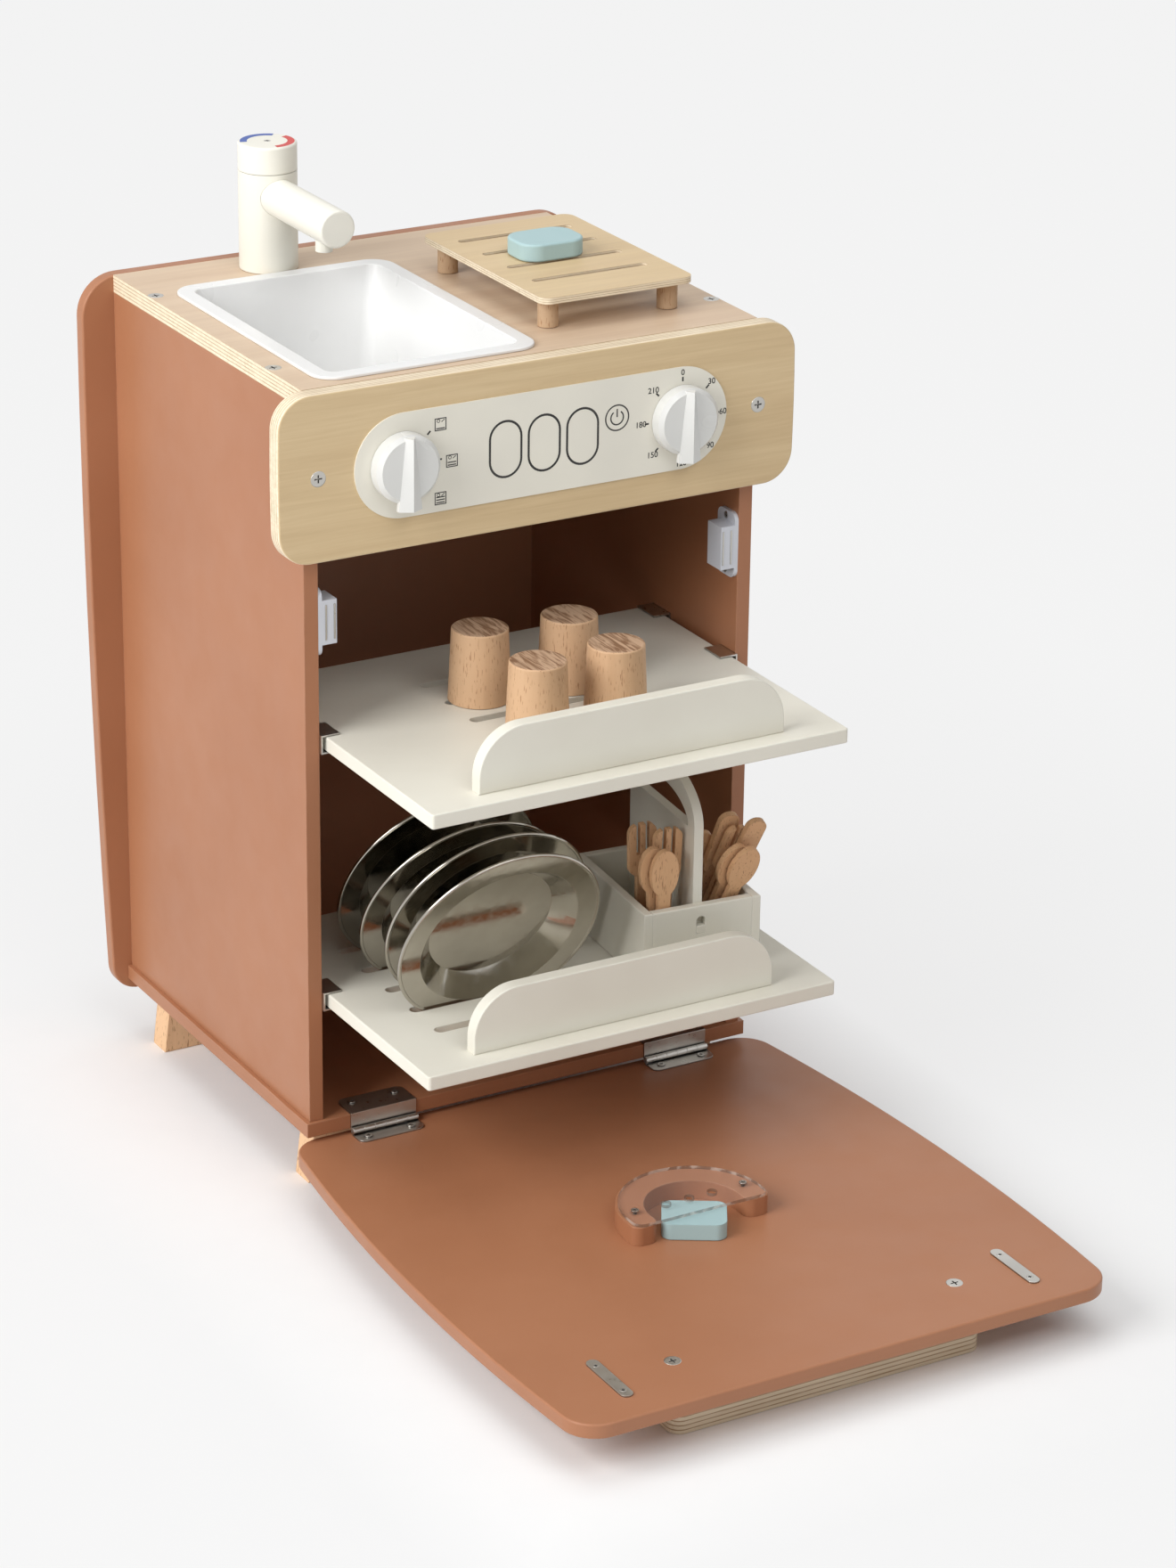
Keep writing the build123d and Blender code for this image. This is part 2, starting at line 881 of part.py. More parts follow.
with BuildPart() as dispenser_cover:
    arch_block(
        Plane.XY.offset(dispenser_top_z), dispenser_half_width - cover_inset, cover_thickness
    )
    round_mouth(dispenser_cover, arm_corner)
    for seat in cover_screw_seats:
        disc(seat, small_screw_shank, -cover_thickness, Mode.SUBTRACT)
    for index in (-1, 0, 1):
        hole_middle = (index * cover_hole_pitch, cover_screw_y, dispenser_top_z)
        disc(facing(hole_middle, (0, 0, 1)), cover_hole_radius, cover_thickness, Mode.SUBTRACT)
keep(dispenser_cover, "dispenser_cover")

with BuildPart() as dispenser_screws:
    for seat in cover_screw_seats:
        raised_screw(
            seat, small_screw_radius, small_screw_shank, small_screw_length + cover_thickness
        )
keep(dispenser_screws, "dispenser_screws")

with BuildPart() as detergent_tablet:
    tablet_way = (cos(radians(tablet_turn)), sin(radians(tablet_turn)), 0)
    rounded_block(
        facing((tablet_x, tablet_y, door_inner_z + seat_gap), (0, 0, 1), tablet_way),
        tablet_length,
        tablet_width,
        tablet_corner,
        tablet_height,
    )
keep(detergent_tablet, "detergent_tablet")


# Knobs
def ridge_section(z, width):
    """Face of the knob's ridge at one height."""
    knob_front = label_front_y - move_gap - knob_depth
    with BuildSketch(Plane.XY.offset(z)) as section:
        Polygon(
            (-width / 2, knob_front + ridge_sink),
            (-width / 2, knob_front),
            (0, knob_front - ridge_height),
            (width / 2, knob_front),
            (width / 2, knob_front + ridge_sink),
            align=None,
        )
    return section.sketch.faces()[0]


def knob(x):
    """Round knob with a raised ridge and a spindle."""
    knob_back = label_front_y - move_gap
    with BuildPart() as piece:
        disc(facing((0, knob_back, dial_z), (0, -1, 0)), knob_radius, knob_depth)
        chamfer(piece.edges().group_by(Axis.Y)[0], knob_bevel)
        loft(
            [
                ridge_section(dial_z - ridge_bottom_reach, ridge_bottom_width),
                ridge_section(dial_z + ridge_top_reach, ridge_top_width),
            ]
        )
        disc(facing((0, knob_back, dial_z), (0, 1, 0)), spindle_radius, spindle_depth)
    with BuildPart() as placed:
        add(piece.part.moved(Location((x, 0, 0))))
    return placed


left_knob = knob(-knob_x)
keep(left_knob, "left_knob")
right_knob = knob(knob_x)
keep(right_knob, "right_knob")

# Tap
tap_base_z = top_z + move_gap
tap_axis = facing((tap_x, tap_y, tap_base_z), (0, 0, 1))
spout_back_y = tap_y - tap_radius + spout_depth
with BuildPart() as tap_pivot:
    disc(facing((tap_x, tap_y, top_z - peg_sink), (0, 0, 1)), peg_radius, peg_sink + peg_height)
keep(tap_pivot, "tap_pivot")

with BuildPart() as tap_column:
    disc(tap_axis, tap_radius, tap_column_top_z - tap_base_z)
    disc(tap_axis, peg_radius + running_gap, peg_height, Mode.SUBTRACT)
    disc(
        facing((tap_x, tap_y, tap_column_top_z), (0, 0, 1)),
        cap_stub_radius + running_gap,
        -cap_stub_length - move_gap,
        Mode.SUBTRACT,
    )
    disc(
        facing((tap_x, spout_back_y, spout_z), (0, -1, 0)),
        spout_radius,
        2 * tap_radius,
        Mode.SUBTRACT,
    )
keep(tap_column, "tap_column")

with BuildPart() as tap_spout:
    disc(
        facing((tap_x, spout_back_y, spout_z), (0, -1, 0)),
        spout_radius,
        spout_back_y - spout_end_y,
    )
    fillet(tap_spout.edges().group_by(Axis.Y)[0], cap_edge)
    disc(
        facing((tap_x, nozzle_y, spout_z - spout_radius + nozzle_sink), (0, 0, -1)),
        nozzle_radius,
        2 * nozzle_sink,
        Mode.SUBTRACT,
    )
keep(tap_spout, "tap_spout")

nozzle_bore_radius = 3.2
nozzle_bore_depth = 5.0
with BuildPart() as tap_nozzle:
    nozzle_top_z = spout_z - spout_radius + nozzle_sink
    disc(
        facing((tap_x, nozzle_y, nozzle_low_z), (0, 0, 1)),
        nozzle_radius,
        nozzle_top_z - nozzle_low_z,
    )
    disc(
        facing((tap_x, nozzle_y, nozzle_low_z), (0, 0, 1)),
        nozzle_bore_radius,
        nozzle_bore_depth,
        Mode.SUBTRACT,
    )
keep(tap_nozzle, "tap_nozzle")

cap_base_z = tap_column_top_z + move_gap
cap_top_plane = facing((tap_x, tap_y, tap_cap_top_z), (0, 0, 1))
with BuildPart() as tap_handle:
    disc(facing((tap_x, tap_y, cap_base_z), (0, 0, 1)), tap_radius, tap_cap_top_z - cap_base_z)
    fillet(tap_handle.edges().group_by(Axis.Z)[-1], cap_edge)
    disc(facing((tap_x, tap_y, cap_base_z), (0, 0, -1)), cap_stub_radius, cap_stub_length)
    countersink(
        cap_top_plane, cap_screw_radius, small_screw_shank, small_screw_length, Mode.SUBTRACT
    )
keep(tap_handle, "tap_handle")

with BuildPart() as tap_handle_screw:
    flush_screw(cap_top_plane, cap_screw_radius, small_screw_shank, small_screw_length)
keep(tap_handle_screw, "tap_handle_screw")


# Sink basin
def sink_section(z, shrink, corner):
    """Face of the basin's wall at one height."""
    with BuildSketch(Plane.XY.offset(z).move(Location((sink_x, sink_y, 0)))) as section:
        RectangleRounded(
            sink_length_x - 2 * sink_rim - shrink, sink_length_y - 2 * sink_rim - shrink, corner
        )
    return section.sketch.faces()[0]


sink_top_z = top_z + sink_rim_proud
sink_inner_corner = 7.0
sink_low_corner = 9.0
sink_floor_z = sink_top_z - sink_depth
sink_narrowing = 2 * sink_depth * tan(radians(sink_draft))
sink_floor_round = 7.0
sink_rim_edge = 0.8
with BuildPart() as sink_basin:
    loft(
        [
            sink_section(sink_floor_z - sink_wall, sink_narrowing - 2 * sink_wall, sink_low_corner),
            sink_section(sink_top_z - sink_rim_proud, -2 * sink_wall, sink_inner_corner + sink_wall),
        ]
    )
    rounded_block(
        Plane.XY.offset(top_z + move_gap).move(Location((sink_x, sink_y, 0))),
        sink_length_x,
        sink_length_y,
        sink_corner,
        sink_rim_proud - move_gap,
    )
    rounded_block(
        Plane.XY.offset(top_z - move_gap).move(Location((sink_x, sink_y, 0))),
        sink_length_x - 2 * sink_rim + 2 * sink_wall,
        sink_length_y - 2 * sink_rim + 2 * sink_wall,
        sink_inner_corner + sink_wall,
        sink_rim_proud,
    )
    loft(
        [
            sink_section(sink_floor_z, sink_narrowing, sink_low_corner),
            sink_section(sink_top_z, 0, sink_inner_corner),
        ],
        mode=Mode.SUBTRACT,
    )
    basin_floor = sink_basin.faces().filter_by(Plane.XY).group_by(Axis.Z)[1]
    fillet(basin_floor.edges(), sink_floor_round)
    fillet(sink_basin.edges().group_by(Axis.Z)[-1], sink_rim_edge)
keep(sink_basin, "sink_basin")

# Draining rack
rack_low_x = 21.5
rack_high_x = 124.5
rack_low_y = front_y + 29.0
rack_high_y = front_y + 181.0
rack_thickness = 4.0
rack_corner = 7.0
rack_top_z = 530.3
rack_leg_radius = 6.25
rack_leg_inset_x = 11.0
rack_leg_inset_y = 14.0
rack_slot_length = 78.0
rack_slot_width = 5.5
rack_slot_count = 4
rack_slot_pitch = 30.5
rack_middle_x = (rack_low_x + rack_high_x) / 2
rack_middle_y = (rack_low_y + rack_high_y) / 2
rack_slot_first_y = front_y + 64.4
with BuildPart() as rack_top:
    rounded_block(
        facing((rack_middle_x, rack_middle_y, rack_top_z), (0, 0, 1)),
        rack_high_x - rack_low_x,
        rack_high_y - rack_low_y,
        rack_corner,
        -rack_thickness,
    )
    for index in range(rack_slot_count):
        slot_middle = (rack_middle_x, rack_slot_first_y + index * rack_slot_pitch, rack_top_z)
        stadium(
            facing(slot_middle, (0, 0, 1)),
            rack_slot_length,
            rack_slot_width,
            -rack_thickness,
            Mode.SUBTRACT,
        )
keep(rack_top, "rack_top")

with BuildPart() as rack_legs:
    for leg_x in (rack_low_x + rack_leg_inset_x, rack_high_x - rack_leg_inset_x):
        for leg_y in (rack_low_y + rack_leg_inset_y, rack_high_y - rack_leg_inset_y):
            disc(
                facing((leg_x, leg_y, top_z + move_gap), (0, 0, 1)),
                rack_leg_radius,
                rack_top_z - rack_thickness - top_z - move_gap,
            )
keep(rack_legs, "rack_legs")

# Soap bar
soap_x = 68.0
soap_y = front_y + 110.0
soap_length = 43.0
soap_width = 33.0
soap_height = 11.0
soap_corner = 12.0
soap_edge = 1.5
with BuildPart() as soap_block:
    rounded_block(
        facing((soap_x, soap_y, rack_top_z + seat_gap), (0, 0, 1)),
        soap_length,
        soap_width,
        soap_corner,
        soap_height,
    )
    fillet(soap_block.edges().group_by(Axis.Z)[-1], soap_edge)
    fillet(soap_block.edges().group_by(Axis.Z)[0], soap_edge)
keep(soap_block, "soap_block")

# Cups, upside down on the upper shelf
cup_height = 45.0
cup_base_radius = 17.0
cup_mouth_radius = 19.0
cup_wall = 2.5
cup_floor = 5.0
cup_edge = 1.2
cup_places = [
    (-30.0, front_y + 10.0),
    (27.0, front_y + 4.0),
    (-26.0, front_y - 53.0),
    (28.0, front_y - 50.0),
]


def cup(place):
    """Turned cup with its mouth down."""
    x, y = place
    low_z = upper_top_z + seat_gap
    hollow_height = cup_height - cup_floor
    hollow_slope = (cup_mouth_radius - cup_base_radius) / cup_height
    with BuildPart() as piece:
        with BuildSketch(facing((x, y, low_z), (0, -1, 0))) as profile:
            Polygon(
                (0, 0),
                (cup_mouth_radius, 0),
                (cup_base_radius, cup_height),
                (0, cup_height),
                align=None,
            )
            fillet(profile.vertices().group_by(Axis.Y)[-1].sort_by(Axis.X)[-1], cup_edge)
            Polygon(
                (0, 0),
                (cup_mouth_radius - cup_wall, 0),
                (cup_mouth_radius - cup_wall - hollow_slope * hollow_height, hollow_height),
                (0, hollow_height),
                align=None,
                mode=Mode.SUBTRACT,
            )
        revolve(axis=Axis((x, y, low_z), (0, 0, 1)))
    return piece


for number, cup_place in enumerate(cup_places, start=1):
    keep(cup(cup_place), f"cup_{number}")

# Plates, each leaning in a slot of the lower shelf
plate_radius = 66.0
plate_lip_radius = 52.0
plate_base_radius = 40.6
plate_depth = 12.9
plate_sheet = 1.0
plate_rim = 1.2
plate_lean = 23.0
plate_lean_rear = 25.0
plate_sink = 15.0
plate_sink_rear = 17.0
plate_1_x = -58.0
plate_2_x = -50.2
plate_3_x = -51.5
plate_4_x = -50.0


def plate_profile():
    """Section of a plate, with the axis on the left and its hollow side down."""
    outer_lip = plate_radius - plate_rim
    with BuildSketch(Plane.XZ) as profile:
        Polygon(
            (0, plate_depth),
            (plate_base_radius, plate_depth),
            (plate_lip_radius, plate_sheet / 2),
            (outer_lip, plate_sheet / 2),
            (outer_lip, -plate_sheet / 2),
            (plate_lip_radius - plate_sheet / 2, -plate_sheet / 2),
            (plate_base_radius - plate_sheet / 2, plate_depth - plate_sheet),
            (0, plate_depth - plate_sheet),
            align=None,
        )
        with Locations((outer_lip, 0)):
            Circle(plate_rim)
    return profile


def plate(middle_x, slot_index, lean, sink):
    """Steel plate that leans towards the front in one slot."""
    slot_y = lower_slot_back_y - slot_index * slot_pitch
    shelf_y = slot_y - shelf_thickness / 2 * tan(radians(lean))
    reach = plate_radius - sink
    middle = (
        middle_x,
        shelf_y - reach * sin(radians(lean)),
        lower_top_z + reach * cos(radians(lean)),
    )
    back = (0, cos(radians(lean)), sin(radians(lean)))
    with BuildPart() as flat:
        revolve(plate_profile().sketch, axis=Axis.Z)
    with BuildPart() as piece:
        add(flat.part.moved(facing(middle, back).location))
    return piece


plate_1 = plate(plate_1_x, 3, plate_lean, plate_sink)
keep(plate_1, "plate_1")
plate_2 = plate(plate_2_x, 2, plate_lean, plate_sink)
keep(plate_2, "plate_2")
plate_3 = plate(plate_3_x, 1, plate_lean_rear, plate_sink_rear)
keep(plate_3, "plate_3")
plate_4 = plate(plate_4_x, 0, plate_lean, plate_sink)
keep(plate_4, "plate_4")

# Cutlery caddy, turned a little on the lower shelf
caddy_x = 76.1
caddy_y = front_y - 32.5
caddy_turn = -5.0
caddy_length_x = 76.9
caddy_length_y = 100.0
caddy_height = 45.0
caddy_side_thickness = 5.6
caddy_base_thickness = 6.0
caddy_divider_thickness = 6.0
caddy_divider_x = -1.0
caddy_low_z = lower_top_z + seat_gap
caddy_arch_z = 226.0
caddy_arch_rise = 28.0
hand_hole_low_z = 224.5
hand_hole_half = 35.5
hand_hole_rise = 17.0
tenon_length = 6.0
tenon_low_z = 160.0
tenon_high_z = 164.8
mortise_high_z = 168.0
caddy_screw_z = 150.0
caddy_screw_inset = 3.0
caddy_screw_head = 2.6
caddy_screw_body = 9.0
caddy_place = Location((caddy_x, caddy_y, 0), (0, 0, caddy_turn))
caddy_half_x = caddy_length_x / 2
caddy_half_y = caddy_length_y / 2
caddy_inner_x = caddy_half_x - caddy_side_thickness
caddy_inner_y = caddy_half_y - caddy_side_thickness
caddy_floor_z = caddy_low_z + caddy_base_thickness
caddy_top_z = caddy_low_z + caddy_height


def placed_in_caddy(builder, node):
    """Turn a caddy piece into its place and write it."""
    with BuildPart() as placed:
        add(builder.part.moved(caddy_place))
    keep(placed, node)


caddy_screw_seats = [
    facing((side * caddy_half_x, screw_y, caddy_screw_z), (side, 0, 0), (0, 1, 0))
    for side in (-1, 1)
    for screw_y in (caddy_screw_inset - caddy_half_y, caddy_half_y - caddy_screw_inset)
]


def caddy_screw_holes():
    """Cut the seats of the caddy's screws."""
    for seat in caddy_screw_seats:
        countersink(seat, caddy_screw_head, small_screw_shank, caddy_screw_body, Mode.SUBTRACT)


def tenon_blocks(high_z, mode):
    """Add the divider's two tenons or cut room for them."""
    for end in (-1, 1):
        y_range = sorted((end * caddy_inner_y, end * caddy_half_y))
        half = tenon_length / 2
        slab(
            (caddy_divider_x - half, caddy_divider_x + half),
            tuple(y_range),
            (tenon_low_z, high_z),
            mode,
        )


def mortise_arches():
    """Cut the round top of each mortise."""
    for end in (-1, 1):
        arch = facing((caddy_divider_x, end * caddy_inner_y, mortise_high_z), (0, end, 0))
        disc(arch, tenon_length / 2, caddy_side_thickness, Mode.SUBTRACT)


def soften_top(builder):
    """Round the top edges of the caddy's walls."""
    fillet(builder.edges().group_by(Axis.Z)[-1], paint_edge)


with BuildPart() as caddy_base:
    slab(
        (-caddy_inner_x, caddy_inner_x),
        (-caddy_inner_y, caddy_inner_y),
        (caddy_low_z, caddy_floor_z),
    )
placed_in_caddy(caddy_base, "caddy_base")

with BuildPart() as caddy_sides:
    for side in (-1, 1):
        x_range = sorted((side * caddy_inner_x, side * caddy_half_x))
        slab(tuple(x_range), (-caddy_half_y, caddy_half_y), (caddy_low_z, caddy_top_z))
    soften_top(caddy_sides)
    caddy_screw_holes()
placed_in_caddy(caddy_sides, "caddy_sides")

with BuildPart() as caddy_ends:
    for end in (-1, 1):
        y_range = sorted((end * caddy_inner_y, end * caddy_half_y))
        slab((-caddy_inner_x, caddy_inner_x), tuple(y_range), (caddy_low_z, caddy_top_z))
    soften_top(caddy_ends)
    tenon_blocks(mortise_high_z, Mode.SUBTRACT)
    mortise_arches()
    caddy_screw_holes()
placed_in_caddy(caddy_ends, "caddy_ends")

divider_near_x = caddy_divider_x - caddy_divider_thickness / 2
divider_plane = facing((divider_near_x, 0, 0), (1, 0, 0), (0, 1, 0))


def low_arch(half_width, spring_z, rise):
    """Half an ellipse that closes an upright outline at the top."""
    EllipticalCenterArc((0, spring_z), half_width, rise, start_angle=0, arc_size=180)


with BuildPart() as caddy_divider:
    with BuildSketch(divider_plane):
        with BuildLine():
            Line((-caddy_inner_y, caddy_floor_z), (caddy_inner_y, caddy_floor_z))
            Line((caddy_inner_y, caddy_floor_z), (caddy_inner_y, caddy_arch_z))
            low_arch(caddy_inner_y, caddy_arch_z, caddy_arch_rise)
            Line((-caddy_inner_y, caddy_arch_z), (-caddy_inner_y, caddy_floor_z))
        make_face()
    extrude(amount=caddy_divider_thickness)
    with BuildSketch(divider_plane):
        with BuildLine():
            Line((-hand_hole_half, hand_hole_low_z), (hand_hole_half, hand_hole_low_z))
            low_arch(hand_hole_half, hand_hole_low_z, hand_hole_rise)
        make_face()
    extrude(amount=caddy_divider_thickness, mode=Mode.SUBTRACT)
    tenon_blocks(tenon_high_z, Mode.ADD)
placed_in_caddy(caddy_divider, "caddy_divider")

with BuildPart() as caddy_screws:
    for seat in caddy_screw_seats:
        flush_screw(seat, caddy_screw_head, small_screw_shank, caddy_screw_body)
placed_in_caddy(caddy_screws, "caddy_screws")

# Wooden cutlery
stem_width = 8.0
cutlery_thickness = 3.8
head_width = 18.0
spoon_length = 76.0
spoon_bowl_length = 31.0
fork_length = 84.0
fork_head_length = 34.0
fork_gap = 2.6
fork_tine_length = 20.0
knife_length = 92.0
knife_blade_length = 46.0
knife_blade_width = 13.0
neck_round = 6.0
left_lean = 4.0
right_lean = 20.0


def stem(length, head_length):
    """Straight stem that runs a little way into the head."""
    with Locations((0, (length - head_length) / 2 + stem_width / 2)):
        Rectangle(stem_width, length - head_length + stem_width)


def spoon():
    """Spoon with its bowl up."""
    with BuildPart() as piece:
        with BuildSketch(Plane.XZ):
            stem(spoon_length, spoon_bowl_length)
            with Locations((0, spoon_length - spoon_bowl_length / 2)):
                Ellipse(head_width / 2, spoon_bowl_length / 2)
        extrude(amount=cutlery_thickness / 2, both=True)
    return piece


def fork():
    """Fork with three tines up."""
    with BuildPart() as piece:
        with BuildSketch(Plane.XZ):
            stem(fork_length, fork_head_length)
            with Locations((0, fork_length - fork_head_length / 2)):
                RectangleRounded(head_width, fork_head_length, neck_round)
            for side in (-1, 1):
                gap_x = side * head_width / 6
                with Locations((gap_x, fork_length - fork_tine_length / 2)):
                    Rectangle(fork_gap, fork_tine_length, mode=Mode.SUBTRACT)
        extrude(amount=cutlery_thickness / 2, both=True)
    return piece


def knife():
    """Knife with a broad blunt blade up."""
    with BuildPart() as piece:
        with BuildSketch(Plane.XZ):
            stem(knife_length, knife_blade_length)
            with Locations((0, knife_length - knife_blade_length / 2)):
                RectangleRounded(knife_blade_width, knife_blade_length, neck_round)
        extrude(amount=cutlery_thickness / 2, both=True)
    return piece


def stand(piece, x, y, forward, aside):
    """Stand one piece of cutlery in the caddy with its lean in degrees."""
    front_drop = cutlery_thickness * abs(sin(radians(forward))) / 2
    side_drop = stem_width * abs(sin(radians(aside))) / 2
    place = Location((x, y, caddy_floor_z + seat_gap + front_drop + side_drop))
    return piece.part.moved(caddy_place * place * Location((0, 0, 0), (forward, aside, 0)))


def cutlery_group(node, pieces):
    """Write cutlery of one kind from one compartment as a node."""
    with BuildPart() as group:
        for piece in pieces:
            add(piece)
    keep(group, node)


# Pieces of one compartment lean forward alike, so each lifts out past the rest
left_front_spoon = stand(spoon(), -21.5, -38.5, left_lean, -1.0)
left_rear_spoon = stand(spoon(), -23.0, -32.5, left_lean, -4.0)
cutlery_group("left_spoons", [left_front_spoon, left_rear_spoon])
left_front_fork = stand(fork(), -15.0, -25.5, left_lean, 0.0)
left_rear_fork = stand(fork(), -22.0, -13.0, left_lean, -3.0)
cutlery_group("left_forks", [left_front_fork, left_rear_fork])
right_front_spoon = stand(spoon(), 15.5, -26.0, right_lean, 12.0)
right_middle_spoon = stand(spoon(), 13.0, -20.0, right_lean, 10.0)
right_rear_spoon = stand(spoon(), 12.0, 6.0, right_lean, 2.0)
cutlery_group("right_spoons", [right_front_spoon, right_middle_spoon, right_rear_spoon])
cutlery_group("right_fork", [stand(fork(), 17.0, -8.0, right_lean, 10.0)])
right_front_knife = stand(knife(), 18.0, -14.0, right_lean, 13.0)
right_rear_knife = stand(knife(), 15.0, -1.0, right_lean, 7.0)
cutlery_group("right_knives", [right_front_knife, right_rear_knife])
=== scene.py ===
"""Looks of the toy dishwasher, in metres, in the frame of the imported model."""
import math

import bmesh
import bpy
from mathutils import Matrix, Vector

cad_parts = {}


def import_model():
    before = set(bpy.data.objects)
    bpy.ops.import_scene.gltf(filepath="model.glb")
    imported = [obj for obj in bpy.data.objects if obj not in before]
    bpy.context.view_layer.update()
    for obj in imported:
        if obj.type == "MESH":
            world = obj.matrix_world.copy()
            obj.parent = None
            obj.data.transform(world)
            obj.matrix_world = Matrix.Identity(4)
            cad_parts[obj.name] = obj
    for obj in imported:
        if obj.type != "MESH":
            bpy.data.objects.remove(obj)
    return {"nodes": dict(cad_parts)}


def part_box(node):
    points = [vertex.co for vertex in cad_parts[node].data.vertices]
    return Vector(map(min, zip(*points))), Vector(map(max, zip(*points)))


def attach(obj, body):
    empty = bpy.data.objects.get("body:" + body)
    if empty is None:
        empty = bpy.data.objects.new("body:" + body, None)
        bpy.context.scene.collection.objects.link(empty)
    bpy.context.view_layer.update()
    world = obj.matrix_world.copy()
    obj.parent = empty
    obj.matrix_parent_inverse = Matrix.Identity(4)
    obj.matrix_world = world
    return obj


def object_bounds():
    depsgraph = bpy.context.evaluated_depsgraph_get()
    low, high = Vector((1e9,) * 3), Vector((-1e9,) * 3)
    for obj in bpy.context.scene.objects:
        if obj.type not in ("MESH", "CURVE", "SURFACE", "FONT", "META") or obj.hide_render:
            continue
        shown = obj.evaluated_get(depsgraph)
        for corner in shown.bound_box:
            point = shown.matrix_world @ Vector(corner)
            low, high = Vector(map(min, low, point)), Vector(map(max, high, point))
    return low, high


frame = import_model()
cad_low, cad_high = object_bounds()
nodes = frame["nodes"]

MM = 0.001
side_low, side_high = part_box("left_side_panel")
CASE_Y = (side_low.y + side_high.y) / 2


# Colours
def paint(red, green, blue, alpha=1.0):
    """Linear colour from eight-bit screen values."""
    def channel(value):
        share = value / 255
        return share / 12.92 if share <= 0.04045 else ((share + 0.055) / 1.055) ** 2.4

    return (channel(red), channel(green), channel(blue), alpha)


# Tones, as eight-bit screen values
TERRACOTTA = paint(170, 116, 84)
TERRACOTTA_DEEP = paint(163, 109, 77)
# Lighter edge tone: partly worn paint, partly a painted highlight on rounded edges
TERRACOTTA_WEAR_AND_HIGHLIGHT = paint(196, 146, 116)
BIRCH_LIGHT = paint(220, 197, 158)
BIRCH_MID = paint(209, 184, 144)
BIRCH_DARK = paint(197, 170, 130)
BIRCH_TONES = (BIRCH_DARK, BIRCH_MID, BIRCH_LIGHT)
WORKTOP_TONES = (paint(196, 169, 142), paint(208, 184, 158), paint(219, 198, 172))
PLY_PALE = paint(240, 226, 200)
PLY_LINE = paint(176, 148, 112)
CREAM = paint(229, 226, 214)
CREAM_SHADE = paint(220, 216, 203)
LABEL = paint(231, 227, 214)
WHITE = paint(219, 219, 216)
BLUE = paint(170, 197, 199)
BLUE_DEEP = paint(160, 189, 192)
BEECH_LIGHT = paint(214, 174, 134)
BEECH_MID = paint(200, 158, 118)
BEECH_DARK = paint(158, 112, 78)
INK = paint(20, 19, 18)
STEEL = paint(186, 181, 171)
NICKEL = paint(204, 201, 195)
HOT = paint(200, 70, 66)
COLD = paint(70, 96, 168)
BACKDROP = paint(244, 244, 244)
FLOOR_TONES = (paint(243, 243, 243), BACKDROP)
# Lighter edge tone: partly worn paint, partly a painted highlight on rounded edges
CREAM_WEAR_AND_HIGHLIGHT = paint(240, 237, 228)
CUP_END_TONES = (paint(136, 102, 76), paint(194, 162, 134))
# Dark tone for painted shade in metal recesses
RECESS_PAINTED_SHADE = paint(38, 34, 31)
# Sawn acrylic edge: painted dark reflection and painted glint
SAWN_PAINTED_DARK_REFLECTION = paint(104, 86, 74)
SAWN_PAINTED_GLINT = paint(204, 194, 184)
SHEET_TONES = (paint(236, 238, 238), paint(246, 248, 248))

# Scales of the materials' noise along X, Y and Z, in repeats for each metre
PAINT_CLOUD = (9, 9, 9)
PAINT_TOOTH = (900, 900, 900)
# Patches of worn paint and painted edge highlight
WEAR_AND_HIGHLIGHT_PATCHES = (70, 70, 70)
PAINT_GLOSS = (40, 40, 40)
PLY_GRAIN = 420.0
PLY_WOBBLE = (60, 60, 60)
BEECH_GRAIN = 260.0
FLECK_ACROSS = 1300.0
FLECK_ALONG = 190.0
END_RINGS = (330, 40, 330)
PLASTIC_CLOUD = (14, 14, 14)
PLASTIC_WAVES = (120, 120, 120)
PLASTIC_GLOSS = (30, 30, 30)
METAL_CLOUD = (35, 35, 35)
ZINC_SCRATCHES = (300, 300, 300)
STEEL_SCRATCHES = (200, 200, 200)
SHEET_SMEAR = (40, 40, 40)
SAWN_GLINTS = (170, 90, 170)
FLOOR_GRAIN = (30, 30, 30)

# Shares of the fine grain's scale, along the wood and in its wider bands
GRAIN_STRETCH = 28
BAND_WIDTH = 9
BAND_STRETCH = 120

# Heights and reaches on the materials, in metres
TOOTH_HEIGHT = 0.2 * MM
GRAIN_HEIGHT = 0.2 * MM
WAVE_HEIGHT = 0.3 * MM
SCRATCH_HEIGHT = 0.1 * MM
# Reach of worn paint and painted edge highlight
WEAR_AND_HIGHLIGHT_REACH = 1.2 * MM
PAINT_ROUNDING = 0.8 * MM
BEECH_ROUNDING = 0.9 * MM
METAL_ROUNDING = 0.4 * MM
RECESS_REACH = 1.6 * MM
BEVEL_SAMPLES = 4
RECESS_SAMPLES = 6

# Plywood: one ply of each board, and the height or depth where its plies start
BOARD_PLY = 2.2 * MM
HANDLE_PLY = 2.8 * MM
RACK_PLY = 1.33 * MM
WORKTOP_LOW_Z = 498.0 * MM
RACK_LOW_Z = 526.3 * MM
FASCIA_LOW_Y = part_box("front_fascia")[0].y


